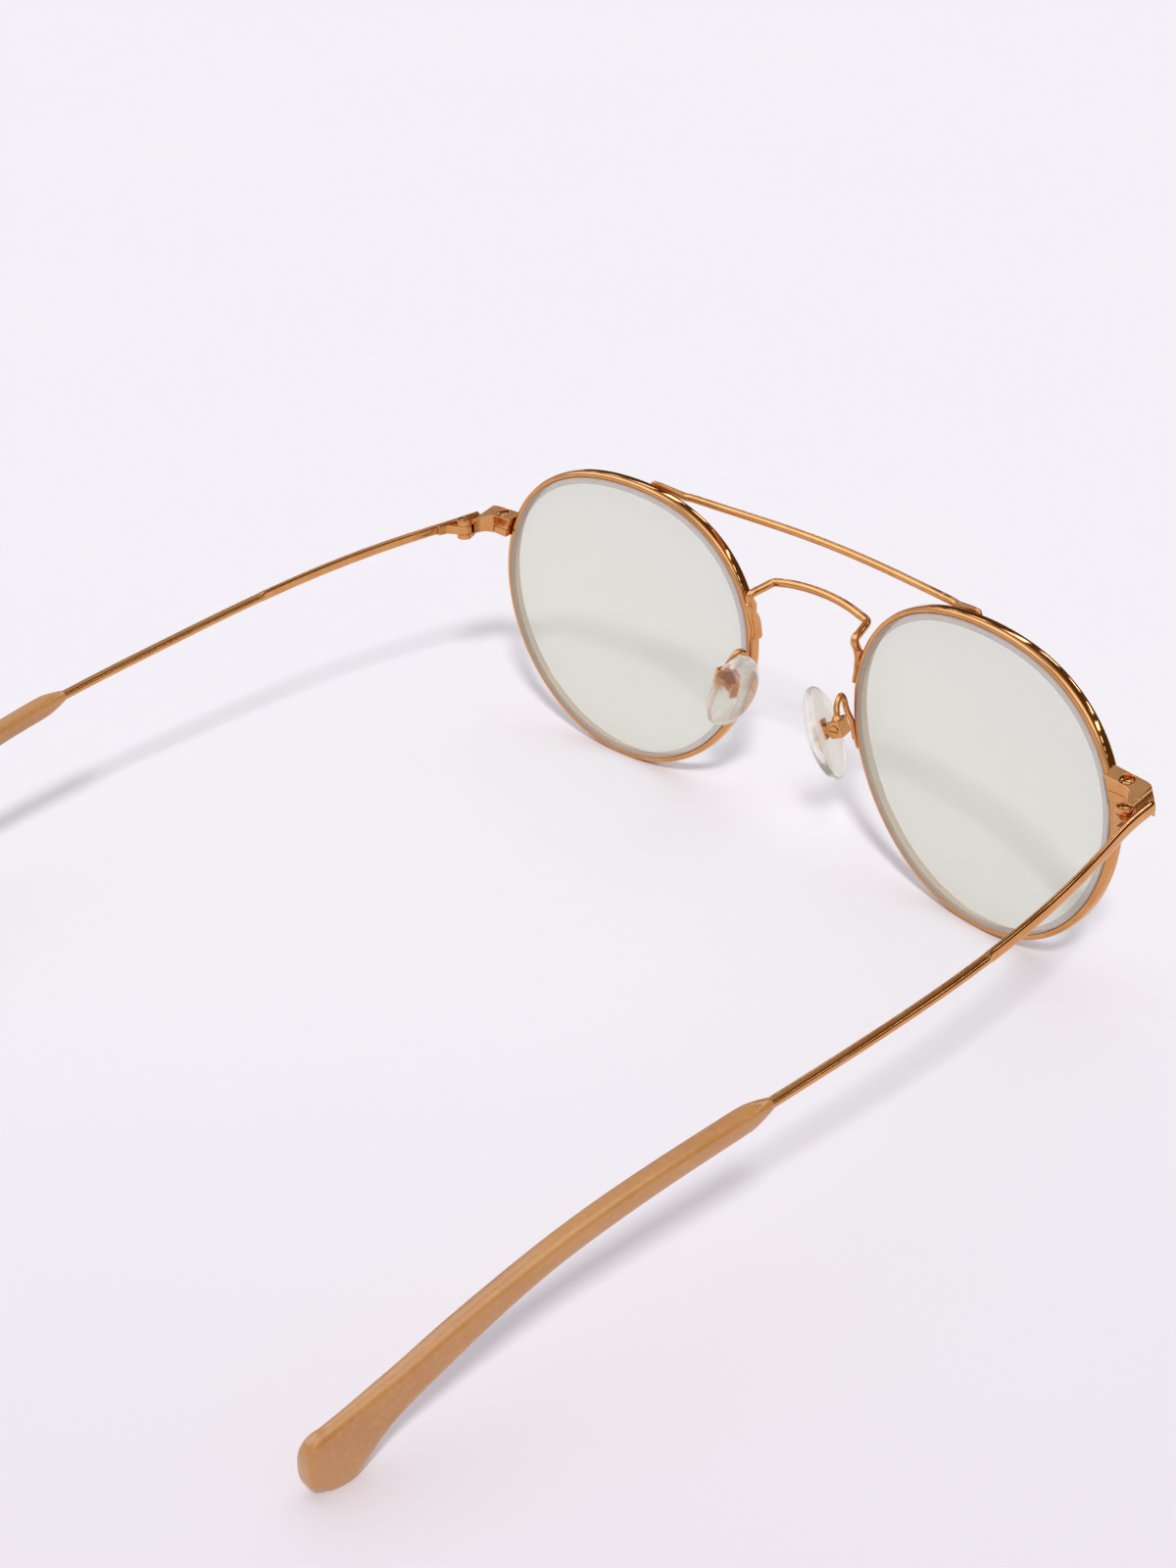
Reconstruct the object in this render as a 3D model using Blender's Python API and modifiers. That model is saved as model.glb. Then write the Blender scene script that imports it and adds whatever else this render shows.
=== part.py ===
# Round metal eyeglasses, open, standing on the bottoms of the rims and the ends of the temple tips.
#
# Frame: X towards the wearer's left, Y from the front to the back, Z up, with the floor at zero.
# Every size is in millimetres, and MM turns it into metres. Places on the front are counted
# from the plane that both lenses lie near, which is LENS_PLANE_Y in the part's frame.
# The left half is modelled, and each left piece is then mirrored into its own right piece.

import math

import bmesh
import bpy
import numpy as np
from mathutils import Matrix, Vector

MM = 0.001
LENS_PLANE_Y = -68.43

# Rims and lenses
HALF_CENTRES = 36.11
WRAP = math.radians(4.65)
RIM_CENTRE_Z = 24.30
RIM_MEAN_RADIUS = 24.83
RIM_WAVES = {2: (0.95, -0.29), 3: (-0.05, 0.61), 4: (-0.14, -0.04)}
RIM_SEGMENTS = 72
SPLIT_ANGLE = math.radians(18.6)
SPLIT_GAP = 0.26
EYEWIRE_SECTION = [
    (0.16, -1.04), (0.0, -0.62), (0.0, 0.62), (0.16, 1.04), (0.95, 1.04),
    (0.95, 0.66), (0.45, 0.24), (0.45, -0.24), (0.95, -0.66), (0.95, -1.04),
]
LENS_EDGE_INSET = 1.04
LENS_BEVEL_INSET = 0.56
LENS_FRONT_EDGE = -0.94
LENS_THICKNESS = 2.1
LENS_BASE_RADIUS = 130.0

# Brow bar and bridge wire
BAR_RADIUS = 0.62
BAR_END_X = 32.9
BAR_PAD_HALF = (0.34, 0.80)
BRIDGE_RADIUS = 0.65
BRIDGE_HALF_WIDTH = 9.3
KNEE = (10.55, -0.65, 35.9)
FOOT_TOP_Z = 33.4
FOOT_BOTTOM_Z = 28.4
SOLDER_GAP = 0.06
SLOT_HALF_WIDTH = 0.15

# End piece, closing block and closing screw
LUG_FRONT_Y = 1.60
LUG_REAR_Y = 3.95
LUG_BOTTOM_Z = 31.15
LUG_TOP_Z = 35.00
LUG_TOP_SLOPES = (-0.08, -0.30)
LUG_CORNER = (65.0, 66.5, 2.15)
LUG_SCOOP = (2.2, 68.0, 4.4, 34.8)
LUG_INNER_ARC = (62.95, 6.20, 2.25)
LUG_ARM_X = (65.2, 66.9)
BUTT = (68.05, 3.46)
SPLIT_Z = 32.40
BLOCK_END_X = 63.50
CLOSING_SCREW = (62.7, 2.78)
CLOSING_HEAD = (0.98, 0.55)
CLOSING_SHAFT_RADIUS = 0.50

# Hinge
PIN = (66.3, 7.8)
KNUCKLE_RADIUS = 1.2
HINGE_Z = (30.60, 31.40, 32.85, 33.70)
HINGE_PLATE_Y = (6.28, 6.50)
LEAF_Y = (9.7, 11.6)
LEAF_THICKNESS = 0.55
LEAF_Z = (31.45, 32.85)
PIN_RADIUS = 0.57
PIN_HEAD = (0.80, 0.36)
RUNNING_GAP = 0.05

# Temples and tips, as places along the centre line
TEMPLE_Y = (3.60, 7.76, 18.00, 33.95, 63.05, 92.15, 111.55, 130.95, 145.50)
TEMPLE_X = (67.72, 68.25, 70.43, 72.97, 73.66, 72.13, 69.94, 67.52, 66.00)
TEMPLE_Z = (32.62, 32.42, 31.56, 29.78, 26.37, 22.75, 17.97, 9.23, 1.14)
STRIP_HALF = (0.46, 0.86)
WIRE_RADIUS = 0.71
STEP_Y = 43.0
TIP_START_Y = 80.3
CORE_RADIUS = 0.55
CORE_END_Y = 124.0
TIP_Y = (84.0, 94.0, 104.0, 112.0, 120.0, 127.0, 131.0, 134.8, 138.6, 141.4)
TIP_ABOVE = (1.52, 1.50, 1.50, 1.52, 1.72, 2.15, 2.42, 3.02, 3.70, 4.30)
TIP_BELOW = (1.55, 1.65, 1.85, 1.97, 2.45, 2.92, 3.10, 4.05, 5.50, 3.95)
TIP_HALF_WIDTH = 1.40
TIP_ROUND_END = (2.5, 3.1, 2.6)

# Nose pads, in a frame of their own: n away from the nose, w along the pad's screw, l up the pad
PAD_CENTRE = (9.57, 3.71, 21.98)
PAD_N = (0.887, -0.274, 0.373)
PAD_L = (-0.352, 0.124, 0.928)
PAD_HALF = (4.30, 7.25)
PAD_FRONT = 1.50
PAD_BACK = 1.10
PAD_SCREW_N = 2.35
PAD_SCREW_L = 0.60
PAD_SCREW_RADIUS = 0.35
PAD_SCREW_HEAD = (0.72, 0.34)
BOX_N = (1.50, 3.50)
BOX_HALF_W = 1.36
BOX_HALF_L = 1.28
BOX_SLOT = (0.75, 3.12)
INSERT_HALF_W = 0.65
INSERT_PLATE = (-0.45, -0.05, 1.50)
STEM_HALF_L = 0.60
ARM_RADIUS = 0.46


def clear_scene():
    for thing in list(bpy.data.objects):
        bpy.data.objects.remove(thing)


def collection(name):
    made = bpy.data.collections.new(name)
    bpy.context.scene.collection.children.link(made)
    return made


def material(name, red, green, blue, roughness, metallic, alpha=1.0):
    made = bpy.data.materials.new(name)
    made.use_nodes = True
    shader = made.node_tree.nodes["Principled BSDF"]
    linear = [((part / 255 + 0.055) / 1.055) ** 2.4 for part in (red, green, blue)]
    shader.inputs["Base Color"].default_value = (*linear, 1.0)
    shader.inputs["Roughness"].default_value = roughness
    shader.inputs["Metallic"].default_value = metallic
    shader.inputs["Alpha"].default_value = alpha
    return made


clear_scene()
parts = collection("round_eyeglasses")
cutters = collection("cutters")
gold = material("rose_gold", 212, 152, 100, 0.18, 1.0)
clear_lens = material("clear_lens", 226, 228, 220, 0.05, 0.0, 0.3)
caramel = material("caramel_plastic", 176, 116, 60, 0.25, 0.0)
clear_pad = material("clear_silicone", 222, 218, 206, 0.20, 0.0, 0.5)


# Frames and paths

def at(x, y, z):
    """A place on the front, in the part's frame and in metres."""
    return Vector((x, y + LENS_PLANE_Y, z)) * MM


def rim_radius(angle):
    waves = (a * math.cos(n * angle) + b * math.sin(n * angle) for n, (a, b) in RIM_WAVES.items())
    return RIM_MEAN_RADIUS + sum(waves)


def rim_place(angle, inset=0.0, depth=0.0):
    """A place in the left lens plane: inset from the rim's outline, depth towards the back."""
    reach = rim_radius(angle) - inset
    across = reach * math.cos(angle)
    x = HALF_CENTRES + across * math.cos(WRAP) - depth * math.sin(WRAP)
    y = across * math.sin(WRAP) + depth * math.cos(WRAP)
    return x, y, RIM_CENTRE_Z + reach * math.sin(angle)


def rim_nasal_side(z):
    """Where the rim's outline has this height on the nasal side."""
    angle = math.pi
    for _ in range(6):
        angle = math.pi - math.asin((z - RIM_CENTRE_Z) / rim_radius(angle))
    return rim_place(angle)


def rim_top(x):
    """Where the rim's outline has this distance from the middle, at the top."""
    angle = math.pi / 2
    for _ in range(6):
        angle = math.acos((x - HALF_CENTRES) / math.cos(WRAP) / rim_radius(angle))
    return rim_place(angle)


def natural_spline(knots, values):
    """A smooth curve through the values, straight at both ends."""
    knots = np.array(knots)
    values = np.array(values)
    steps = np.diff(knots)
    slopes = np.diff(values) / steps
    count = len(knots)
    system = np.eye(count)
    right = np.zeros(count)
    for i in range(1, count - 1):
        system[i, i - 1:i + 2] = steps[i - 1], 2 * (steps[i - 1] + steps[i]), steps[i]
        right[i] = 6 * (slopes[i] - slopes[i - 1])
    bends = np.linalg.solve(system, right)

    def value(place):
        i = int(np.clip(np.searchsorted(knots, place) - 1, 0, count - 2))
        low = (knots[i + 1] - place) / steps[i]
        high = (place - knots[i]) / steps[i]
        curve = (low ** 3 - low) * bends[i] + (high ** 3 - high) * bends[i + 1]
        return float(low * values[i] + high * values[i + 1] + curve * steps[i] ** 2 / 6)

    return value


temple_x = natural_spline(TEMPLE_Y, TEMPLE_X)
temple_z = natural_spline(TEMPLE_Y, TEMPLE_Z)
tip_above = natural_spline(TIP_Y, TIP_ABOVE)
tip_below = natural_spline(TIP_Y, TIP_BELOW)


def temple_place(y):
    return Vector((temple_x(y), y, temple_z(y)))


def arc(centre_x, centre_y, radius, start, end, steps):
    """Points of an arc in a plane, from one angle in degrees to another."""
    angles = [math.radians(start + (end - start) * i / steps) for i in range(steps + 1)]
    return [(centre_x + radius * math.cos(a), centre_y + radius * math.sin(a)) for a in angles]


def blend(low, high, share):
    share = min(max(share, 0.0), 1.0)
    share = share * share * (3 - 2 * share)
    return low + (high - low) * share


# Shapes

def soft_least(first, second):
    """The lesser of two numbers, with a rounded change from one to the other."""
    return (first + second - math.hypot(first - second, 0.24)) / 2


def loft(rings):
    """A closed solid through rings of equal count, whose points are places on the front."""
    shape = bmesh.new()
    loops = [[shape.verts.new(at(*point)) for point in ring] for ring in rings]
    for near, far in zip(loops, loops[1:]):
        for i, point in enumerate(near):
            j = (i + 1) % len(near)
            shape.faces.new((point, near[j], far[j], far[i]))
    shape.faces.new(reversed(loops[0]))
    shape.faces.new(loops[-1])
    shape.normal_update()
    bmesh.ops.recalc_face_normals(shape, faces=shape.faces)
    return shape


def rounded_ring(centre, across, up, half_across, half_up, power, count):
    """One rounded section: power 2 is an ellipse, and more is boxier."""
    ring = []
    for i in range(count):
        angle = 2 * math.pi * (i + 0.5) / count
        c = math.cos(angle)
        s = math.sin(angle)
        step_across = math.copysign(abs(c) ** (2 / power), c) * half_across
        step_up = math.copysign(abs(s) ** (2 / power), s) * half_up
        ring.append(centre + across * step_across + up * step_up)
    return ring


def tube(stations, count):
    """A loft along stations of centre, half width, half height and power, kept upright."""
    rings = []
    last = len(stations) - 1
    for i, (centre, half_across, half_up, power) in enumerate(stations):
        way = (stations[min(i + 1, last)][0] - stations[max(i - 1, 0)][0]).normalized()
        across = way.cross(Vector((0, 0, 1))).normalized()
        up = across.cross(way)
        rings.append(rounded_ring(centre, across, up, half_across, half_up, power, count))
    return loft(rings)


def mesh_from_curve(data, matrix):
    """The curve's evaluated mesh with its caps welded, in the part's frame."""
    holder = bpy.data.objects.new("curve", data)
    bpy.context.scene.collection.objects.link(holder)
    bpy.context.view_layer.update()
    evaluated = holder.evaluated_get(bpy.context.evaluated_depsgraph_get())
    mesh = bpy.data.meshes.new_from_object(evaluated)
    bpy.data.objects.remove(holder)
    shape = bmesh.new()
    shape.from_mesh(mesh)
    bpy.data.meshes.remove(mesh)
    bmesh.ops.remove_doubles(shape, verts=shape.verts, dist=0.000001)
    shape.transform(matrix)
    shape.normal_update()
    bmesh.ops.recalc_face_normals(shape, faces=shape.faces)
    return shape


def spline_of(data, points, cyclic):
    spline = data.splines.new("POLY")
    spline.points.add(len(points) - 1)
    for slot, point in zip(spline.points, points):
        slot.co = (*point, 1.0)
    spline.use_cyclic_u = cyclic


def prism(outline, low, high, frame=None):
    """A flat outline in millimetres made thick from low to high along its frame's third axis."""
    data = bpy.data.curves.new("outline", "CURVE")
    data.dimensions = "2D"
    data.fill_mode = "BOTH"
    data.extrude = (high - low) / 2 * MM
    spline_of(data, [(x * MM, y * MM, 0.0) for x, y in outline], True)
    lift = Matrix.Translation((0, 0, (low + high) / 2 * MM))
    return mesh_from_curve(data, (frame or FRONT) @ lift)


def wire(points, radius, sides):
    """A round wire through places on the front, with filled ends."""
    data = bpy.data.curves.new("wire", "CURVE")
    data.dimensions = "3D"
    data.bevel_depth = radius * MM
    data.bevel_resolution = sides
    data.use_fill_caps = True
    spline_of(data, [at(*point) for point in points], False)
    return mesh_from_curve(data, Matrix())


def cylinder(radius, low, high, frame, sides=24):
    shape = bmesh.new()
    place = frame @ Matrix.Translation((0, 0, (low + high) / 2 * MM))
    bmesh.ops.create_cone(
        shape, cap_ends=True, segments=sides, radius1=radius * MM, radius2=radius * MM,
        depth=(high - low) * MM, matrix=place,
    )
    return shape


def box(low, high, frame):
    shape = bmesh.new()
    size = [(b - a) * MM for a, b in zip(low, high)]
    middle = [(a + b) / 2 * MM for a, b in zip(low, high)]
    place = frame @ Matrix.Translation(middle) @ Matrix.Diagonal((*size, 1.0))
    bmesh.ops.create_cube(shape, size=1.0, matrix=place)
    return shape


FRONT = Matrix.Translation((0, LENS_PLANE_Y * MM, 0))


def upright(x, y):
    return FRONT @ Matrix.Translation((x * MM, y * MM, 0))


def pad_frame():
    """Third axis along the pad's screw, first axis n, second axis l, at the pad's centre."""
    n = Vector(PAD_N).normalized()
    w = Vector(PAD_L).cross(n).normalized()
    up = n.cross(w)
    turn = Matrix((n, -up, w)).transposed().to_4x4()
    return Matrix.Translation(at(*PAD_CENTRE)) @ turn, n, w, up


PAD_TO_WORLD, PAD_AWAY, PAD_ALONG, PAD_UP = pad_frame()


def on_pad(n, w, up):
    """A place given in the pad's own directions."""
    return Vector(PAD_CENTRE) + PAD_AWAY * n + PAD_ALONG * w + PAD_UP * up


# Objects

def add(name, shape, finish, pivot=None, sharp=35):
    mesh = bpy.data.meshes.new(name)
    if pivot is not None:
        shape.transform(Matrix.Translation(-pivot.location))
    shape.to_mesh(mesh)
    shape.free()
    mesh.materials.append(finish)
    mesh.shade_smooth()
    mesh.set_sharp_from_angle(angle=math.radians(sharp))
    made = bpy.data.objects.new(name, mesh)
    parts.objects.link(made)
    made.parent = pivot
    return made


def change(target, shape, name, operation):
    """Cuts a shape out of the target or joins it on, with an exact Boolean."""
    mesh = bpy.data.meshes.new(name)
    shape.to_mesh(mesh)
    shape.free()
    tool = bpy.data.objects.new(name, mesh)
    tool.hide_render = True
    tool.display_type = "WIRE"
    cutters.objects.link(tool)
    step = target.modifiers.new(name, "BOOLEAN")
    step.operation = operation
    step.solver = "EXACT"
    step.object = tool


def cut(target, shape, name):
    change(target, shape, name, "DIFFERENCE")


def join(target, shape, name):
    change(target, shape, name, "UNION")


def soften(target, width, segments=2):
    step = target.modifiers.new("soften", "BEVEL")
    step.width = width * MM
    step.segments = segments
    step.limit_method = "ANGLE"
    step.angle_limit = math.radians(40)


def turned(name, profile, frame, finish, pivot=None, steps=20):
    """A turned piece: a profile of radius and height down its outer side, swept round its axis."""
    mesh = bpy.data.meshes.new(name)
    points = [(radius * MM, 0.0, height * MM) for radius, height in profile]
    mesh.from_pydata(points, [(i, i + 1) for i in range(len(points) - 1)], [])
    mesh.materials.append(finish)
    made = bpy.data.objects.new(name, mesh)
    parts.objects.link(made)
    made.parent = pivot
    made.matrix_local = Matrix.Translation(-pivot.location) @ frame if pivot else frame
    step = made.modifiers.new("turn", "SCREW")
    step.axis = "Z"
    step.steps = steps
    step.render_steps = steps
    step.use_merge_vertices = True
    step.merge_threshold = 0.00001
    step.use_smooth_shade = True
    return made


def screw(name, head, shaft_radius, length, frame, finish, pivot=None):
    """A slotted screw whose head's underside is at zero and whose shaft runs down."""
    head_radius, head_height = head
    edge = head_height * 0.35
    profile = [
        (0.0, head_height), (head_radius - edge, head_height), (head_radius, head_height - edge),
        (head_radius, 0.0), (shaft_radius, 0.0), (shaft_radius, -length + 0.15),
        (shaft_radius - 0.15, -length), (0.0, -length),
    ]
    made = turned(name, profile, frame, finish, pivot)
    slot_low = (-head_radius - 0.2, -SLOT_HALF_WIDTH, head_height * 0.4)
    slot_high = (head_radius + 0.2, SLOT_HALF_WIDTH, head_height + 0.3)
    cut(made, box(slot_low, slot_high, frame), name + "_slot")
    return made


def joint_axis(name, place):
    axis = bpy.data.objects.new(name, None)
    axis.empty_display_size = 0.004
    axis.location = place
    parts.objects.link(axis)
    return axis


def mirror_copy(piece, name, pivots):
    """The right piece: the left piece's finished mesh with X turned round."""
    evaluated = piece.evaluated_get(bpy.context.evaluated_depsgraph_get())
    mesh = bpy.data.meshes.new_from_object(evaluated)
    mesh.name = name
    mesh.transform(Matrix.Scale(-1, 4, (1, 0, 0)) @ piece.matrix_world)
    mesh.flip_normals()
    made = bpy.data.objects.new(name, mesh)
    parts.objects.link(made)
    if piece.parent is not None:
        made.parent = pivots[piece.parent.name]
        mesh.transform(Matrix.Translation(-made.parent.location))


# Rims and lenses

def rim_left():
    half_gap = SPLIT_GAP / 2 / RIM_MEAN_RADIUS
    start = SPLIT_ANGLE + half_gap
    sweep = 2 * math.pi - 2 * half_gap
    angles = [start + sweep * i / RIM_SEGMENTS for i in range(RIM_SEGMENTS + 1)]
    shape = loft([[rim_place(a, inset, depth) for inset, depth in EYEWIRE_SECTION] for a in angles])
    rest_on_floor(shape)
    return add("rim_left", shape, gold)


def rest_on_floor(shape):
    """The lowest points are rubbed down to a small flat."""
    for vertex in shape.verts:
        vertex.co.z = max(vertex.co.z, 0.0)


def lens_left():
    """A meniscus with its bevelled edge in the rim's groove."""
    rear_edge = LENS_FRONT_EDGE + LENS_THICKNESS
    middle = (LENS_FRONT_EDGE + rear_edge) / 2 - 0.1
    edge = [
        (LENS_EDGE_INSET, LENS_FRONT_EDGE), (LENS_EDGE_INSET, middle - 0.48),
        (LENS_BEVEL_INSET, 0.0), (LENS_EDGE_INSET, middle + 0.48), (LENS_EDGE_INSET, rear_edge),
    ]
    shares = (0.35, 0.7)
    angles = [2 * math.pi * i / RIM_SEGMENTS for i in range(RIM_SEGMENTS)]

    def face_ring(share, edge_depth):
        bulge = (1 - share ** 2) * RIM_MEAN_RADIUS ** 2 / (2 * LENS_BASE_RADIUS)
        insets = [rim_radius(a) - (rim_radius(a) - LENS_EDGE_INSET) * share for a in angles]
        return [rim_place(a, inset, edge_depth - bulge) for a, inset in zip(angles, insets)]

    rings = [face_ring(share, LENS_FRONT_EDGE) for share in shares]
    rings += [[rim_place(a, inset, depth) for a in angles] for inset, depth in edge]
    rings += [face_ring(share, rear_edge) for share in reversed(shares)]
    return add("lens_left", loft(rings), clear_lens)


# Brow bar and bridge

def bar_place(x):
    """The bar bows forward between the rims, and its ends lie on the fronts of their tops."""
    u = x / 19.4
    y = -6.355 + 1.18 * u ** 2 + 0.187 * u ** 4
    z = 45.64 - 0.294 * u ** 2 + 0.295 * u ** 4
    share = (abs(x) - 29.6) / 2.2
    half_depth = blend(BAR_RADIUS, BAR_PAD_HALF[0], share)
    half_height = blend(BAR_RADIUS, BAR_PAD_HALF[1], share)
    if abs(x) > 24:
        _, rim_y, rim_z = rim_top(abs(x))
        y = soft_least(y, rim_y - EYEWIRE_SECTION[3][1] - half_depth - SOLDER_GAP)
        z = soft_least(z, rim_z - 0.55)
    return Vector((x, y, z)), half_depth, half_height


def brow_bar():
    places = [BAR_END_X, BAR_END_X - 0.25, 32.2, 31.4, 30.6, 29.8, 28.8]
    places += [26.0 - 26.0 * i / 9 for i in range(10)]
    places += [-x for x in reversed(places[:-1])]
    stations = []
    for x in places:
        centre, half_depth, half_height = bar_place(x)
        if abs(x) == BAR_END_X:
            half_depth *= 0.55
            half_height *= 0.6
        stations.append((centre, half_depth, half_height, blend(2.0, 2.6, (abs(x) - 29.6) / 2)))
    return add("brow_bar", tube(stations, 10), gold)


def bridge():
    """A saddle wire that bends back at each end and runs down into a flattened foot."""
    half = []
    for i in range(8):
        x = BRIDGE_HALF_WIDTH * i / 7
        u = x / 9.7
        y = -5.537 + 1.845 * u ** 2 - 0.846 * u ** 4
        z = 38.07 - 0.308 * u ** 2 - 0.699 * u ** 4
        half.append((x, y, z))
    knee_x, knee_y, knee_z = KNEE
    foot_x, foot_y, _ = rim_nasal_side(FOOT_TOP_Z)
    half += [
        (9.72, -4.05, 36.95), (10.05, -2.9, 36.6), (10.38, -1.65, 36.28),
        (knee_x, knee_y - 0.2, knee_z), (knee_x + 0.08, knee_y - 0.25, knee_z - 0.6),
        (foot_x - 0.9, foot_y + 0.8, FOOT_TOP_Z + 0.9), (foot_x - 0.85, foot_y + 0.5, FOOT_TOP_Z),
    ]
    left = half[1:]
    points = [(-x, y, z) for x, y, z in reversed(left)] + [half[0]] + left
    made = add("bridge", wire(points, BRIDGE_RADIUS, 3), gold)
    for side, word in ((1, "left"), (-1, "right")):
        join(made, bridge_foot(side), "bridge_foot_" + word)
    return made


def bridge_foot(side):
    """The flattened end of the wire, lying along the rim's nasal side."""
    rings = []
    steps = 8
    for i in range(steps + 1):
        share = i / steps
        z = FOOT_TOP_Z + 0.7 - (FOOT_TOP_Z + 0.7 - FOOT_BOTTOM_Z) * share
        edge_x, edge_y, _ = rim_nasal_side(z)
        half_out = blend(0.5, 0.34, share * 1.3)
        half_wide = blend(0.6, 0.95, share * 2.0)
        if i in (0, steps):
            half_out *= 0.6
            half_wide *= 0.7
        y = edge_y + blend(0.7, 0.0, share * 1.6)
        centre = Vector((side * (edge_x - SOLDER_GAP - 0.1 - half_out), y, z))
        out = Vector((side, 0, 0))
        rings.append(rounded_ring(centre, out, Vector((0, 1, 0)), half_out, half_wide, 3.0, 10))
    return loft(rings)


# End piece, closing block and closing screw

def rim_clearance(name, target):
    """Cuts the end against the rim to the rim's own curve."""
    angles = [2 * math.pi * i / 144 for i in range(144)]
    rings = [[rim_place(a, -SOLDER_GAP, depth) for a in angles] for depth in (-4.0, 6.0)]
    cut(target, loft(rings), name)


def lug_top(x, y):
    """The lug's top falls away outwards and towards the back."""
    slope_x, slope_y = LUG_TOP_SLOPES
    return LUG_TOP_Z + slope_x * (x - 60.4) + slope_y * (y - LUG_FRONT_Y)


def end_piece_left():
    """The lug: from the rim outwards to the butt face, with an arm round to the hinge."""
    bend_x, corner_x, corner_y = LUG_CORNER
    inner = arc(*LUG_INNER_ARC, 0, -90, 7)
    outline = [
        (58.6, LUG_FRONT_Y), (bend_x, LUG_FRONT_Y), (bend_x + 0.75, LUG_FRONT_Y + 0.16),
        (corner_x, corner_y), BUTT, (LUG_ARM_X[1], BUTT[1]), (LUG_ARM_X[1], 6.2), *inner,
        (58.6, LUG_REAR_Y),
    ]
    shape = prism(outline, LUG_BOTTOM_Z, LUG_TOP_Z)
    for vertex in shape.verts:
        if vertex.co.z > SPLIT_Z * MM:
            vertex.co.z = lug_top(vertex.co.x / MM, vertex.co.y / MM - LENS_PLANE_Y) * MM
    made = add("end_piece_left", shape, gold)
    low = (57.0, 0.0, LUG_BOTTOM_Z - 1.0)
    high = (BLOCK_END_X + 0.08, 5.5, SPLIT_Z + 0.05)
    cut(made, box(low, high, FRONT), "closing_block_seat")
    soften(made, 0.16)
    scoop_radius, *scoop_centre = LUG_SCOOP
    tilt = Matrix.Rotation(math.radians(90 - 14), 4, "X")
    place = FRONT @ Matrix.Translation(Vector(scoop_centre) * MM) @ tilt
    cut(made, cylinder(scoop_radius, -2.4, 2.4, place, 32), "corner_scoop")
    rim_clearance("end_piece_rim_curve", made)
    place = upright(*CLOSING_SCREW)
    head_radius, head_height = CLOSING_HEAD
    seat_z = lug_top(*CLOSING_SCREW) - head_height
    cut(made, cylinder(head_radius + 0.05, seat_z - 0.04, LUG_TOP_Z + 1.0, place), "closing_recess")
    bore = CLOSING_SHAFT_RADIUS + RUNNING_GAP
    cut(made, cylinder(bore, LUG_BOTTOM_Z, LUG_TOP_Z, place), "closing_bore")
    return made


def closing_block_left():
    """The lower half of the closing block, which the screw pulls up against the lug."""
    outline = [(58.6, LUG_FRONT_Y + 0.1), (BLOCK_END_X, LUG_FRONT_Y + 0.1)]
    outline += [(BLOCK_END_X, LUG_REAR_Y), (58.6, LUG_REAR_Y)]
    made = add("closing_block_left", prism(outline, LUG_BOTTOM_Z, SPLIT_Z - 0.05), gold)
    soften(made, 0.12)
    rim_clearance("closing_block_rim_curve", made)
    bore = CLOSING_SHAFT_RADIUS + RUNNING_GAP
    place = upright(*CLOSING_SCREW)
    cut(made, cylinder(bore, LUG_BOTTOM_Z - 1, SPLIT_Z + 1, place), "closing_thread_bore")
    return made


def closing_screw_left():
    seat_z = lug_top(*CLOSING_SCREW) - CLOSING_HEAD[1]
    place = upright(*CLOSING_SCREW) @ Matrix.Translation((0, 0, seat_z * MM))
    place = place @ Matrix.Rotation(math.radians(102), 4, "Z")
    length = seat_z - LUG_BOTTOM_Z - 0.1
    return screw("closing_screw_left", CLOSING_HEAD, CLOSING_SHAFT_RADIUS, length, place, gold)


# Hinge

def hinge_front_left():
    """Two knuckles on a plate that is soldered to the lug's arm."""
    low, slot_low, slot_high, high = HINGE_Z
    near, far = HINGE_PLATE_Y
    outline = [(LUG_ARM_X[0] + 0.05, near), (LUG_ARM_X[1] + 0.05, near)]
    outline += arc(*PIN, KNUCKLE_RADIUS, -40, 215, 14)
    shape = prism(outline, low, high)
    top = lug_top(PIN[0], near) * MM
    for vertex in shape.verts:
        if vertex.co.y / MM - LENS_PLANE_Y < near + 0.1:
            vertex.co.z = min(max(vertex.co.z, LUG_BOTTOM_Z * MM), top)
    made = add("hinge_front_left", shape, gold)
    slot = box((PIN[0] - 3, far, slot_low), (PIN[0] + 3, far + 5, slot_high), FRONT)
    cut(made, slot, "knuckle_slot")
    place = upright(*PIN)
    cut(made, cylinder(PIN_RADIUS + RUNNING_GAP, low - 1, high + 1, place), "front_knuckle_bore")
    head_radius, head_height = PIN_HEAD
    cut(made, cylinder(head_radius + 0.05, high - head_height - 0.08, high + 1, place), "head_recess")
    return made


def leaf_side(y, inset):
    """A place beside the temple's inner face."""
    return temple_x(y) - STRIP_HALF[0] - SOLDER_GAP - inset, y


def hinge_temple_left(pivot):
    """The middle knuckle, with a leaf that is soldered inside the temple."""
    near, far = LEAF_Y
    outline = arc(*PIN, KNUCKLE_RADIUS, 125, 385, 14)
    outline += [leaf_side(9.3, 0.0), leaf_side(near, 0.0), leaf_side(far, 0.0)]
    outline += [leaf_side(far, LEAF_THICKNESS), leaf_side(near + 0.5, LEAF_THICKNESS)]
    gap = RUNNING_GAP
    shape = prism(outline, HINGE_Z[1] + gap, HINGE_Z[2] - gap)
    middle = (HINGE_Z[1] + HINGE_Z[2]) / 2 * MM
    for vertex in shape.verts:
        if vertex.co.y / MM - LENS_PLANE_Y > near - 0.1:
            vertex.co.z = LEAF_Z[1] * MM if vertex.co.z > middle else LEAF_Z[0] * MM
    made = add("hinge_temple_left", shape, gold, pivot)
    bore = cylinder(PIN_RADIUS + RUNNING_GAP, HINGE_Z[0], HINGE_Z[3], upright(*PIN))
    cut(made, bore, "temple_knuckle_bore")
    return made


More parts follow.
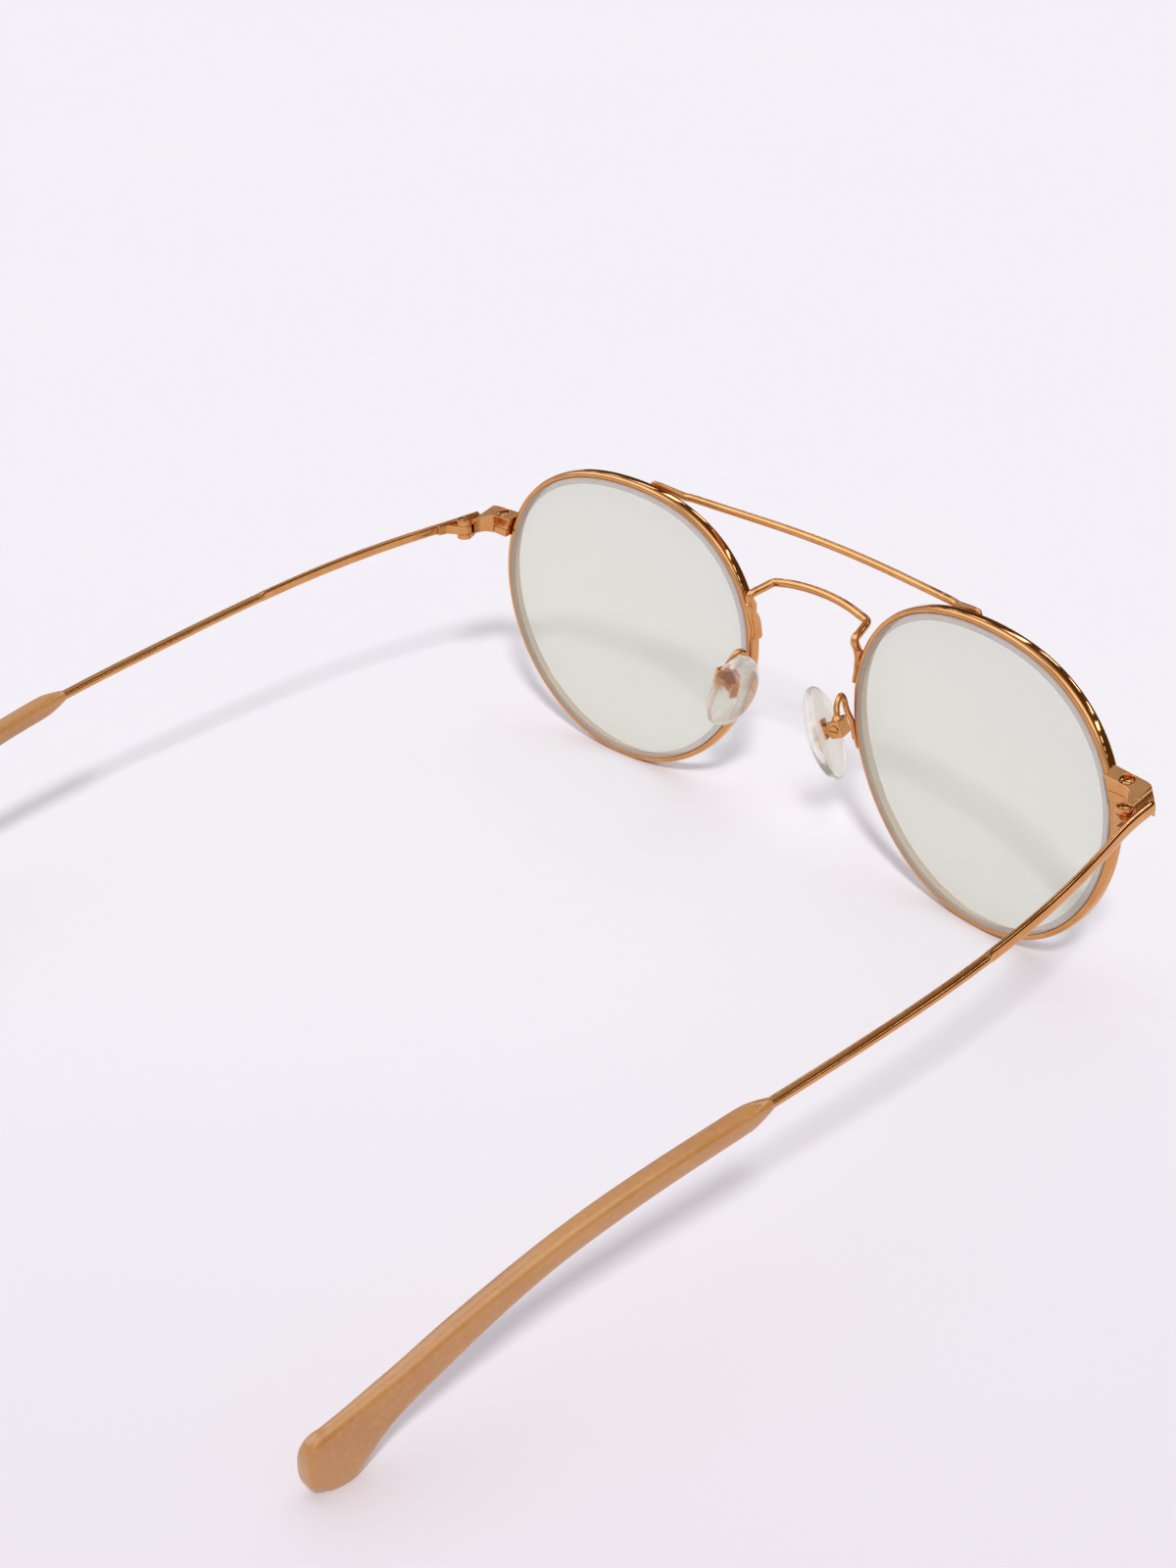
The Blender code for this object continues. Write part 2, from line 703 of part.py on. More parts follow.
def hinge_screw_left():
    seat_z = HINGE_Z[3] - PIN_HEAD[1] - 0.03
    place = upright(*PIN) @ Matrix.Translation((0, 0, seat_z * MM))
    place = place @ Matrix.Rotation(math.radians(-30), 4, "Z")
    return screw("hinge_screw_left", PIN_HEAD, PIN_RADIUS, seat_z - HINGE_Z[0] - 0.03, place, gold)


# Temples and their tips

def temple_left(pivot):
    """A flat strip that steps down into a round wire, whose thinner end is the tip's core."""
    start = TEMPLE_Y[0]
    places = [start, start + 0.15, 8, 13, 20, 27, 34, 40, STEP_Y - 0.7, STEP_Y - 0.1, STEP_Y + 0.5]
    places += [STEP_Y + 1.4, 50, 57, 64, 71, TIP_START_Y - 1.0, TIP_START_Y + 0.4]
    core = TIP_START_Y + 1.2
    places += [core + (CORE_END_Y - core) * i / 9 for i in range(10)]
    stations = []
    for y in places:
        share = (y - STEP_Y + 0.7) / 1.6
        half_across = blend(STRIP_HALF[0], WIRE_RADIUS, share)
        half_up = blend(STRIP_HALF[1], WIRE_RADIUS, share)
        if y == start:
            half_across -= 0.1
            half_up -= 0.1
        if y >= core:
            half_across = CORE_RADIUS
            half_up = CORE_RADIUS
        stations.append((temple_place(y), half_across, half_up, blend(3.4, 2.0, share)))
    return add("temple_left", tube(stations, 12), gold, pivot)


def temple_tip_left(pivot):
    """The plastic tip: an ogive nose, a slow swell and a foot that stands on the floor."""
    nose_length = TIP_Y[0] - TIP_START_Y
    end_length, end_drop, end_rise = TIP_ROUND_END
    body_end = TIP_Y[-1]
    sections = []
    for share in (0, 0.12, 0.35, 0.65):
        swell = 1 - (1 - share) ** 1.6
        least = WIRE_RADIUS + 0.1
        above = least + (TIP_ABOVE[0] - least) * swell
        below = least + (TIP_BELOW[0] - least) * swell
        half_width = least + (TIP_HALF_WIDTH - least) * swell
        sections.append((TIP_START_Y + nose_length * share, above, below, half_width))
    for y in (84, 89, 94, 99, 104, 108, 112, 116, 120, 124, 127.5, 131, 134, 136.5, 139, body_end):
        sections.append((y, tip_above(y), tip_below(y), TIP_HALF_WIDTH))
    end_z = temple_z(body_end)
    for degrees, width in ((25, 0.98), (50, 0.92), (72, 0.74)):
        y = body_end + end_length * math.sin(math.radians(degrees))
        turn = 1 - math.cos(math.radians(degrees))
        above = end_z + TIP_ABOVE[-1] - end_drop * turn - temple_z(y)
        below = temple_z(y) - max(end_z - TIP_BELOW[-1], -0.05) - end_rise * turn
        sections.append((y, above, below, TIP_HALF_WIDTH * width))
    rings = []
    for y, above, below, half_width in sections:
        centre = temple_place(y) + Vector((0, 0, (above - below) / 2))
        half_up = (above + below) / 2
        ring = rounded_ring(centre, Vector((1, 0, 0)), Vector((0, 0, 1)), half_width, half_up, 2.9, 16)
        rings.append(ring)
    shape = loft(rings)
    rest_on_floor(shape)
    made = add("temple_tip_left", shape, caramel, pivot)
    cut(made, tip_bore(), "tip_bore")
    return made


def tip_bore():
    """The hole that the temple's wire and its thinner core go into."""
    gap = RUNNING_GAP
    mouth = TIP_START_Y + 1.1
    places = [TIP_START_Y - 0.5, TIP_START_Y + 0.45, mouth]
    places += [mouth + 0.1 + (CORE_END_Y + 0.3 - mouth) * i / 9 for i in range(10)]
    stations = []
    for y in places:
        radius = WIRE_RADIUS if y < mouth else CORE_RADIUS
        stations.append((temple_place(y), radius + gap, radius + gap, 2.0))
    return tube(stations, 12)


# Nose pads

def pad_prism(outline, low, high):
    """An outline in the pad's n and l directions, made thick along its screw."""
    return prism([(n, -up) for n, up in outline], low, high, PAD_TO_WORLD)


def nose_pad_left(pivot):
    """An oval pad, domed towards the nose and flatter behind, with a slot for its insert."""
    rings = []
    steps = 12
    for i in range(steps + 1):
        up = -math.cos(math.pi * (0.06 + 0.88 * i / steps))
        half_up = PAD_HALF[1] * up
        fall = math.sqrt(1 - up * up)
        ring = []
        for k in range(16):
            angle = 2 * math.pi * (k + 0.5) / 16
            n = math.sin(angle) * (PAD_BACK if math.sin(angle) > 0 else PAD_FRONT)
            n *= fall ** 0.8
            w = math.cos(angle) * PAD_HALF[0] * fall * (1 - 0.06 * up)
            ring.append(on_pad(n, w, half_up))
        rings.append(ring)
    made = add("nose_pad_left", loft(rings), clear_pad, pivot)
    cut(made, insert_shape(0.07, 4.0), "insert_slot")
    return made


def insert_shape(grow, stem_end):
    """A flat T: its plate is held in the pad, and its stem stands out to the pad's screw."""
    plate_low, plate_high, plate_half = INSERT_PLATE
    middle = PAD_SCREW_L
    reach = plate_half + grow
    stem = STEM_HALF_L + grow
    outline = [
        (plate_low - grow, middle - reach), (plate_high + grow, middle - reach),
        (plate_high + grow, middle - stem),
    ]
    if stem_end > PAD_SCREW_N + STEM_HALF_L:
        outline += [(stem_end, middle - stem), (stem_end, middle + stem)]
    else:
        outline += arc(PAD_SCREW_N, middle, stem, -90, 90, 8)
    outline += [(plate_high + grow, middle + stem), (plate_high + grow, middle + reach)]
    outline += [(plate_low - grow, middle + reach)]
    half = INSERT_HALF_W + grow
    return pad_prism(outline, -half, half)


def pad_axis_frame():
    """Third axis along the pad's screw, at the screw."""
    return PAD_TO_WORLD @ Matrix.Translation((PAD_SCREW_N * MM, -PAD_SCREW_L * MM, 0))


def pad_insert_left(pivot):
    made = add("pad_insert_left", insert_shape(0.0, 0.0), gold, pivot)
    hole = cylinder(PAD_SCREW_RADIUS + RUNNING_GAP, -2, 2, pad_axis_frame(), 16)
    cut(made, hole, "insert_hole")
    return made


def pad_box_left():
    """A channel with two cheeks that the insert's stem rocks between."""
    near, far = BOX_N
    slot_half, slot_far = BOX_SLOT
    half = BOX_HALF_W
    outline = [(near, -half), (far, -half), (far, half), (near, half), (near, slot_half),
               (slot_far, slot_half), (slot_far, -slot_half), (near, -slot_half)]
    turn = PAD_TO_WORLD @ Matrix.Rotation(math.radians(90), 4, "X")
    shape = prism(outline, PAD_SCREW_L - BOX_HALF_L, PAD_SCREW_L + BOX_HALF_L, turn)
    made = add("pad_box_left", shape, gold)
    soften(made, 0.16)
    hole = cylinder(PAD_SCREW_RADIUS + RUNNING_GAP, -3, 3, pad_axis_frame(), 16)
    cut(made, hole, "box_hole")
    return made


def pad_screw_left():
    seat = pad_axis_frame() @ Matrix.Translation((0, 0, (BOX_HALF_W + 0.04) * MM))
    seat = seat @ Matrix.Rotation(math.radians(25), 4, "Z")
    length = 2 * BOX_HALF_W - 0.1
    return screw("pad_screw_left", PAD_SCREW_HEAD, PAD_SCREW_RADIUS, length, seat, gold)


def pad_arm_left():
    """A looped wire from a flat foot on the rim, up and over, down to the top of the box."""
    foot_z = 21.6
    rim_x, rim_y, _ = rim_nasal_side(foot_z)
    box_top = on_pad((BOX_N[0] + BOX_N[1]) / 2 + 0.2, 0, PAD_SCREW_L + BOX_HALF_L + SOLDER_GAP)
    points = [
        (rim_x - 0.62, rim_y + 0.75, foot_z), (rim_x - 0.66, rim_y + 1.0, foot_z + 1.0),
        (10.0, -0.55, 23.9), (9.97, -0.05, 25.1), (10.02, 0.35, 26.2), (10.12, 0.78, 27.0),
        (10.25, 1.3, 27.42), (10.42, 1.88, 27.4), (10.6, 2.4, 27.0), (10.78, 2.82, 26.3),
        (box_top.x - 0.1, box_top.y - 0.05, box_top.z + 0.7), tuple(box_top),
    ]
    made = add("pad_arm_left", wire(points, ARM_RADIUS, 2), gold)
    rings = []
    low, high, steps = 18.2, foot_z + 1.0, 6
    for i in range(steps + 1):
        share = i / steps
        z = low + (high - low) * share
        edge_x, edge_y, _ = rim_nasal_side(z)
        half_out = blend(0.28, 0.36, share * 1.4)
        half_wide = 0.8 - 0.35 * share
        if i in (0, steps):
            half_out *= 0.7
            half_wide *= 0.7
        centre = Vector((edge_x - SOLDER_GAP - 0.1 - half_out, edge_y + 0.1 + 0.8 * share, z))
        ring = rounded_ring(centre, Vector((1, 0, 0)), Vector((0, 1, 0)), half_out, half_wide, 3, 8)
        rings.append(ring)
    join(made, loft(rings), "pad_arm_foot")
    return made


def build():
    temple_axis = joint_axis("temple_axis_left", at(*PIN, 32.1))
    pad_axis = joint_axis("pad_axis_left", at(*on_pad(PAD_SCREW_N, 0, PAD_SCREW_L)))
    brow_bar()
    bridge()
    left = [
        rim_left(), lens_left(), end_piece_left(), closing_block_left(), closing_screw_left(),
        hinge_front_left(), hinge_screw_left(), pad_arm_left(), pad_box_left(), pad_screw_left(),
        hinge_temple_left(temple_axis), temple_left(temple_axis), temple_tip_left(temple_axis),
        nose_pad_left(pad_axis), pad_insert_left(pad_axis),
    ]
    turn = Matrix.Scale(-1, 4, (1, 0, 0))
    pivots = {}
    for axis in (temple_axis, pad_axis):
        pivots[axis.name] = joint_axis(axis.name.replace("left", "right"), turn @ axis.location)
    bpy.context.view_layer.update()
    for piece in left:
        mirror_copy(piece, piece.name.replace("left", "right"), pivots)


build()
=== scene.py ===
import math

import bpy
import numpy as np
from mathutils import Matrix, Vector


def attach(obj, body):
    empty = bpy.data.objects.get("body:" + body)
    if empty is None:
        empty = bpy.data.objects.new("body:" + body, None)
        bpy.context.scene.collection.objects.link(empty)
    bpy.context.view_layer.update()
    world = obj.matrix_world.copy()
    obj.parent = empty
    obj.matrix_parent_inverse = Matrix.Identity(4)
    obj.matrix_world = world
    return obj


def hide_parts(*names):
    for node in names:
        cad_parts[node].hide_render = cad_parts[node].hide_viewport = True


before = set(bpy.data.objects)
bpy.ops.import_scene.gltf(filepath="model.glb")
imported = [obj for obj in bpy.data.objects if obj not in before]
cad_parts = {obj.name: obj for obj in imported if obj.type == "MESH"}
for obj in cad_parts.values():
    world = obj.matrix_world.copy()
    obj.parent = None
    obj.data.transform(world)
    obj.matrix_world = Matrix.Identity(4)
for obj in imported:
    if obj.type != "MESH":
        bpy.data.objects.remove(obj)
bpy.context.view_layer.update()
print("frame loaded:", len(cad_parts), "nodes")

# Places are in millimetres, counted from the plane that both lenses lie near: x towards the
# wearer's left, y from the front to the back, z up from the floor. toRow turns them into metres.
mm = 0.001
lensPlaneY = -68.43
sides = {"left": 1, "right": -1}


def toRow(point, side=1):
    x, y, z = point
    return (side * x * mm, (y + lensPlaneY) * mm, z * mm)


def splineThrough(knots, values):
    # A natural cubic spline, straight at both ends, as a function of the knot.
    knots = np.array(knots, float)
    values = np.array(values, float)
    steps = np.diff(knots)
    slopes = (np.diff(values, axis=0).T / steps).T
    count = len(knots)
    system = np.eye(count)
    right = np.zeros((count,) + values.shape[1:])
    for i in range(1, count - 1):
        system[i, i - 1:i + 2] = steps[i - 1], 2 * (steps[i - 1] + steps[i]), steps[i]
        right[i] = 6 * (slopes[i] - slopes[i - 1])
    bends = np.linalg.solve(system, right)

    def valueAt(place):
        i = int(np.clip(np.searchsorted(knots, place) - 1, 0, count - 2))
        low = (knots[i + 1] - place) / steps[i]
        high = (place - knots[i]) / steps[i]
        curve = (low ** 3 - low) * bends[i] + (high ** 3 - high) * bends[i + 1]
        return low * values[i] + high * values[i + 1] + curve * steps[i] ** 2 / 6

    return valueAt


def smoothPath(points, spacing):
    # Evenly spaced points on a smooth curve through the given ones.
    points = np.array(points, float)
    lengths = np.linalg.norm(np.diff(points, axis=0), axis=1)
    knots = np.concatenate([[0], np.cumsum(np.sqrt(lengths))])
    curve = splineThrough(knots, points)
    fine = np.array([curve(k) for k in np.linspace(0, knots[-1], 40 * len(points))])
    along = np.concatenate([[0], np.cumsum(np.linalg.norm(np.diff(fine, axis=0), axis=1))])
    places = np.linspace(0, along[-1], max(int(along[-1] / spacing), 2) + 1)
    return np.stack([np.interp(places, along, fine[:, k]) for k in range(3)], axis=1)


def blend(low, high, share):
    share = min(max(share, 0.0), 1.0)
    share = share * share * (3 - 2 * share)
    return low + (high - low) * share


def softLeast(first, second):
    # The lesser of two numbers, with a rounded change from one to the other.
    return (first + second - math.hypot(first - second, 0.24)) / 2


def arc(centreX, centreY, radius, start, end, steps):
    angles = [math.radians(start + (end - start) * i / steps) for i in range(steps + 1)]
    return [(centreX + radius * math.cos(a), centreY + radius * math.sin(a)) for a in angles]


# Shader maths: sums on values add Math nodes, and any other node comes from Nodes.node.

class Value:
    def __init__(self, nodes, socket):
        self.nodes = nodes
        self.socket = socket

    def math(self, operation, first, second):
        return self.nodes.node("ShaderNodeMath", {"operation": operation}, {0: first, 1: second})

    def __add__(self, other):
        return self.math("ADD", self, other)

    def __radd__(self, other):
        return self.math("ADD", other, self)

    def __sub__(self, other):
        return self.math("SUBTRACT", self, other)

    def __rsub__(self, other):
        return self.math("SUBTRACT", other, self)

    def __mul__(self, other):
        return self.math("MULTIPLY", self, other)

    def __rmul__(self, other):
        return self.math("MULTIPLY", other, self)

    def __truediv__(self, other):
        return self.math("DIVIDE", self, other)

    def step(self, low, high):
        # 0 below low, 1 above high, smooth between them.
        values = {"Value": self, "From Min": low, "From Max": high}
        settings = {"interpolation_type": "SMOOTHSTEP"}
        return self.nodes.node("ShaderNodeMapRange", settings, values)


class Nodes:
    def __init__(self, tree):
        self.tree = tree

    def plug(self, socket, value):
        if isinstance(value, Value):
            self.tree.links.new(value.socket, socket)
        else:
            socket.default_value = value

    def node(self, kind, settings=None, values=None, output=0):
        made = self.tree.nodes.new(kind)
        for name, value in (settings or {}).items():
            setattr(made, name, value)
        for name, value in (values or {}).items():
            self.plug(made.inputs[name], value)
        return Value(self, made.outputs[output])

    def mix(self, share, first, second):
        values = {0: share, 6: first, 7: second}
        return self.node("ShaderNodeMix", {"data_type": "RGBA"}, values, 2)


class Finish(Nodes):
    def __init__(self, name, constants):
        self.material = bpy.data.materials.new(name)
        self.material.use_nodes = True
        super().__init__(self.material.node_tree)
        self.shader = self.tree.nodes["Principled BSDF"]
        for socket, value in constants.items():
            self.shader.inputs[socket].default_value = value

    def place(self, scale=(1, 1, 1)):
        # The object's own coordinates in millimetres, stretched along each axis.
        raw = self.node("ShaderNodeTexCoord", output="Object")
        size = tuple(part / mm for part in scale)
        return self.node("ShaderNodeVectorMath", {"operation": "MULTIPLY"}, {0: raw, 1: size})

    def noise(self, size, detail=2.0, stretch=(1, 1, 1)):
        values = {"Vector": self.place(stretch), "Scale": 1 / size, "Detail": detail}
        return self.node("ShaderNodeTexNoise", None, values)

    def bump(self, height, strength, distance):
        values = {"Height": height, "Strength": strength, "Distance": distance * mm}
        return self.node("ShaderNodeBump", None, values)

    def set(self, **values):
        for name, value in values.items():
            self.plug(self.shader.inputs[name.replace("_", " ")], value)
        return self.material


def colour(red, green, blue):
    # A colour written in 0 to 255, as the linear colour that shaders use.
    linear = [((part / 255 + 0.055) / 1.055) ** 2.4 for part in (red, green, blue)]
    return (*linear, 1.0)


goldLook = {
    "base": colour(219, 159, 101), "warm": colour(208, 144, 83), "worn": colour(228, 182, 134),
    "roughness": 0.05, "polishMarks": 0.04, "waviness": 0.15,
}
satinLook = dict(goldLook, roughness=0.14, polishMarks=0.08, waviness=0.12)


def makeGold(name, look):
    finish = Finish(name, {"Metallic": 1.0})
    patches = finish.noise(3.0, 3.0).step(0.35, 0.65)
    wear = finish.noise(0.9, 4.0).step(0.60, 0.78)
    marks = finish.noise(0.12, 2.0, (1, 0.25, 1))
    waves = finish.noise(1.6, 1.0)
    tone = finish.mix(patches * 0.6, look["base"], look["warm"])
    tone = finish.mix(wear * 0.35, tone, look["worn"])
    height = waves * look["waviness"] + marks * 0.015
    return finish.set(
        Base_Color=tone,
        Roughness=look["roughness"] + marks * look["polishMarks"] + wear * 0.06,
        Normal=finish.bump(height, 0.35, 0.05),
    )


def makeLensFace(name):
    # Thin clear plastic: it darkens and greens what is behind it a little. Most of a shadow ray
    # passes it, so that its shadow stays faint.
    finish = Finish(name, {"Roughness": 0.03, "IOR": 1.5})
    haze = finish.noise(9.0, 2.0)
    shadow = finish.node("ShaderNodeLightPath", output="Is Shadow Ray")
    tint = finish.mix(haze, (0.50, 0.53, 0.35, 1), (0.55, 0.57, 0.40, 1))
    return finish.set(Base_Color=tint, Alpha=(0.235 + haze * 0.02) * (1 - shadow * 0.7))


def makeLensEdge(name, dark, light, alpha):
    # The matt ground edge, seen as a pale ring.
    finish = Finish(name, {"IOR": 1.5, "Specular IOR Level": 0.15})
    grain = finish.noise(0.5, 2.0)
    tone = finish.mix(grain, dark, light)
    return finish.set(Base_Color=tone, Roughness=0.6 + grain * 0.2, Alpha=alpha + grain * 0.03)


def makeCaramel(name):
    finish = Finish(name, {"IOR": 1.49, "Coat Roughness": 0.05})
    clouds = finish.noise(7.0, 3.0, (1, 0.25, 1)).step(0.3, 0.7)
    specks = finish.noise(0.7, 3.0)
    marks = finish.noise(0.2, 2.0, (1, 0.2, 1))
    tone = finish.mix(clouds, colour(192, 136, 73), colour(180, 120, 58))
    tone = finish.mix(specks.step(0.45, 0.75) * 0.35, tone, colour(204, 152, 94))
    return finish.set(
        Base_Color=tone,
        Roughness=0.26 + marks * 0.12,
        Coat_Weight=0.85 + clouds * 0.15,
        Normal=finish.bump(finish.noise(2.4, 1.0) + marks * 0.06, 0.15, 0.05),
    )


def makeSilicone(name):
    # Soft clear plastic, a little milky; light passes it, so its own shadow stays faint.
    finish = Finish(name, {"IOR": 1.25, "Transmission Weight": 0.97, "Coat Weight": 1.0,
                           "Coat Roughness": 0.03})
    clouds = finish.noise(2.6, 2.0)
    dust = finish.noise(0.4, 3.0).step(0.60, 0.85)
    shadow = finish.node("ShaderNodeLightPath", output="Is Shadow Ray")
    tone = finish.mix(clouds, colour(240, 239, 226), colour(229, 228, 214))
    return finish.set(
        Base_Color=tone,
        Alpha=0.80 - shadow * 0.68,
        Roughness=0.012 + dust * 0.05,
        Normal=finish.bump(clouds + dust * 0.1, 0.07, 0.06),
    )


gold = makeGold("rose_gold", goldLook)
satinGold = makeGold("satin_rose_gold", satinLook)
lensFace = makeLensFace("clear_lens")
lensBevel = makeLensEdge("lens_bevel", colour(222, 212, 202), colour(228, 219, 210), 0.62)
lensEdge = makeLensEdge("ground_lens_edge", colour(176, 160, 143), colour(186, 171, 155), 0.80)
lensHalo = makeLensEdge("lens_edge_halo", colour(164, 149, 132), colour(172, 157, 141), 0.54)
caramel = makeCaramel("caramel_acetate")
silicone = makeSilicone("clear_silicone")
print("materials made")


# Shapes: swept pieces are skins over rings of points, and stamped ones are carved solids.

def skin(name, rings, materials, side=1, slots=None, sharp=38):
    points = [toRow(point, side) for ring in rings for point in ring]
    size = len(rings[0])
    faces = []
    kinds = []
    for i in range(len(rings) - 1):
        low = i * size
        for k in range(size):
            j = (k + 1) % size
            faces.append((low + k, low + j, low + size + j, low + size + k))
            kinds.append(slots[i] if slots else 0)
    last = (len(rings) - 1) * size
    faces.append(tuple(range(size))[::-1])
    faces.append(tuple(range(last, last + size)))
    kinds += [kinds[0], kinds[-1]]
    mesh = meshOf(name, points, faces)
    for material in materials:
        mesh.materials.append(material)
    mesh.polygons.foreach_set("material_index", kinds)
    return place(name, mesh, sharp)


def meshOf(name, points, faces):
    # A mesh whose faces are turned round when its signed volume says that they point inwards.
    mesh = bpy.data.meshes.new(name)
    mesh.from_pydata(points, [], faces)
    mesh.calc_loop_triangles()
    volume = 0.0
    for triangle in mesh.loop_triangles:
        a, b, c = (mesh.vertices[i].co for i in triangle.vertices)
        volume += a.dot(b.cross(c))
    if volume < 0:
        mesh.flip_normals()
    return mesh


def place(name, mesh, sharp=None):
    if sharp:
        mesh.shade_smooth()
        mesh.set_sharp_from_angle(angle=math.radians(sharp))
    piece = bpy.data.objects.new(name, mesh)
    bpy.context.scene.collection.objects.link(piece)
    return piece


def join(name, pieces):
    # Overlapping skins that are soldered together become one piece.
    host = pieces[0]
    with bpy.context.temp_override(active_object=host, selected_editable_objects=pieces):
        bpy.ops.object.join()
    host.name = name
    host.data.name = name
    return host


def settle(piece, body, slotName, *nodes):
    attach(piece, body)
    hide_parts(*nodes)


def ringAt(centre, across, up, halfAcross, halfUp, power, count):
    centre, across, up = (np.array(v, float) for v in (centre, across, up))
    ring = []
    for i in range(count):
        angle = 2 * math.pi * i / count
        c = math.cos(angle)
        s = math.sin(angle)
        outAcross = math.copysign(abs(c) ** (2 / power), c) * halfAcross
        outUp = math.copysign(abs(s) ** (2 / power), s) * halfUp
        ring.append(tuple(centre + across * outAcross + up * outUp))
    return ring


def tubeRings(path, radius, count, roundEnds):
    # Rings square to the path, carried along it without twist, with domed ends.
    path = np.array(path, float)
    ways = np.gradient(path, axis=0)
    ways /= np.linalg.norm(ways, axis=1)[:, None]
    across = np.cross(ways[0], (0.13, 0.27, 0.95))
    rings = []
    for centre, way in zip(path, ways):
        across = across - way * across.dot(way)
        across /= np.linalg.norm(across)
        rings.append((centre, across.copy(), np.cross(way, across)))
    made = [ringAt(c, a, u, radius, radius, 2, count) for c, a, u in rings]
    made = domed(rings[0], -ways[0], radius, roundEnds, count)[::-1] + made
    return made + domed(rings[-1], ways[-1], radius, roundEnds, count)


def domed(ring, way, radius, length, count):
    centre, across, up = ring
    cap = []
    for degrees in (20, 40, 60, 78):
        angle = math.radians(degrees)
        middle = centre + way * length * math.sin(angle)
        size = radius * math.cos(angle)
        cap.append(ringAt(middle, across, up, size, size, 2, count))
    return cap


def prism(outline, low, high, axes=Matrix()):
    # A flat outline made thick along the third axis, as points and faces.
    count = len(outline)
    points = [tuple(axes @ Vector((x, y, z))) for z in (low, high) for x, y in outline]
    faces = [tuple(range(count))[::-1], tuple(range(count, 2 * count))]
    faces += [(i, (i + 1) % count, count + (i + 1) % count, count + i) for i in range(count)]
    return points, faces


def rod(radius, low, high, axes, sides=64):
    return prism(arc(0, 0, radius, 0, 360 - 360 / sides, sides - 1), low, high, axes)


def block(low, high, axes=Matrix()):
    x0, y0, z0 = low
    x1, y1, z1 = high
    return prism([(x0, y0), (x1, y0), (x1, y1), (x0, y1)], z0, z1, axes)


def turned(profile, axes, steps=56):
    # A profile of radius and height, from the top of the axis to its foot, swept round it.
    points = [tuple(axes @ Vector((0, 0, profile[0][1])))]
    for radius, height in profile[1:-1]:
        for x, y in arc(0, 0, radius, 0, 360 - 360 / steps, steps - 1):
            points.append(tuple(axes @ Vector((x, y, height))))
    points.append(tuple(axes @ Vector((0, 0, profile[-1][1]))))
    last = len(points) - 1
    faces = []
    for k in range(steps):
        j = (k + 1) % steps
        faces.append((0, 1 + k, 1 + j))
        for ring in range(len(profile) - 3):
            low = 1 + ring * steps
            faces.append((low + k, low + steps + k, low + steps + j, low + j))
        low = 1 + (len(profile) - 3) * steps
        faces.append((last, low + j, low + k))
    return points, faces


def rawPiece(solid):
    points, faces = solid
    return place("raw", meshOf("raw", [toRow(point) for point in points], faces))


def flattened(piece):
    mesh = bpy.data.meshes.new_from_object(
        piece.evaluated_get(bpy.context.evaluated_depsgraph_get())
    )
    bpy.data.objects.remove(piece)
    return mesh


def carved(base, cuts=(), extras=(), voxel=None, rounds=4, keep=0.35):
    # Cuts the base and adds the extras. With a voxel size, in millimetres, the whole is then
    # remeshed and relaxed, which rounds its edges as tumbling does and fillets its solder.
    host = rawPiece(base)
    tools = [rawPiece(cut) for cut in cuts]
    for tool in tools:
        step = host.modifiers.new("cut", "BOOLEAN")
        step.object = tool
        step.solver = "EXACT"
    mesh = flattened(host)
    for tool in tools:
        bpy.data.objects.remove(tool)
    if not voxel:
        return mesh
    pieces = [place("raw", mesh)] + [rawPiece(extra) for extra in extras]
    host = join("raw", pieces) if len(pieces) > 1 else pieces[0]
    step = host.modifiers.new("remesh", "REMESH")
    step.mode = "VOXEL"
    step.voxel_size = voxel * mm
    step = host.modifiers.new("tumble", "SMOOTH")
    step.factor = 0.5
    step.iterations = rounds
    step = host.modifiers.new("thin", "DECIMATE")
    step.ratio = keep
    return flattened(host)


def bothSides(name, mesh, stem, bodyStem, material, sharp=60):
    # The carved left piece and its mirror image; a body stem is front, temple or pad.
    mesh.materials.clear()
    mesh.materials.append(material)
    other = mesh.copy()
    other.transform(Matrix.Scale(-1, 4, (1, 0, 0)))
    other.flip_normals()
    for word, skinned in (("left", mesh), ("right", other)):
        body = "front" if bodyStem == "front" else bodyStem + "_" + word
        settle(place(name + "_" + word, skinned, sharp), body, "metal", stem + "_" + word)


# Rims: a grooved wire bent round each lens and split behind the closing block.

rimSizes = {
    "halfCentres": 36.11, "wrap": math.radians(4.65), "centreZ": 24.30, "radius": 24.83,
    "waves": {2: (0.95, -0.29), 3: (-0.05, 0.61), 4: (-0.14, -0.04)},
    "splitAngle": math.radians(18.6), "splitGap": 0.26, "segments": 420,
    "halfDepth": 1.04, "wall": 0.95, "groove": 0.45,
}


def rimRadius(angle):
    waves = rimSizes["waves"].items()
    return rimSizes["radius"] + sum(
        a * math.cos(n * angle) + b * math.sin(n * angle) for n, (a, b) in waves
    )


def rimPlace(angle, inset=0.0, depth=0.0):
    reach = rimRadius(angle) - inset
    across = reach * math.cos(angle)
    wrap = rimSizes["wrap"]
    x = rimSizes["halfCentres"] + across * math.cos(wrap) - depth * math.sin(wrap)
    y = across * math.sin(wrap) + depth * math.cos(wrap)
    return x, y, rimSizes["centreZ"] + reach * math.sin(angle)


def rimNasal(z):
    angle = math.pi
    for _ in range(6):
        angle = math.pi - math.asin((z - rimSizes["centreZ"]) / rimRadius(angle))
    return rimPlace(angle)


def rimTop(x):
    angle = math.pi / 2
    for _ in range(6):
        reach = (x - rimSizes["halfCentres"]) / math.cos(rimSizes["wrap"])
        angle = math.acos(reach / rimRadius(angle))
    return rimPlace(angle)


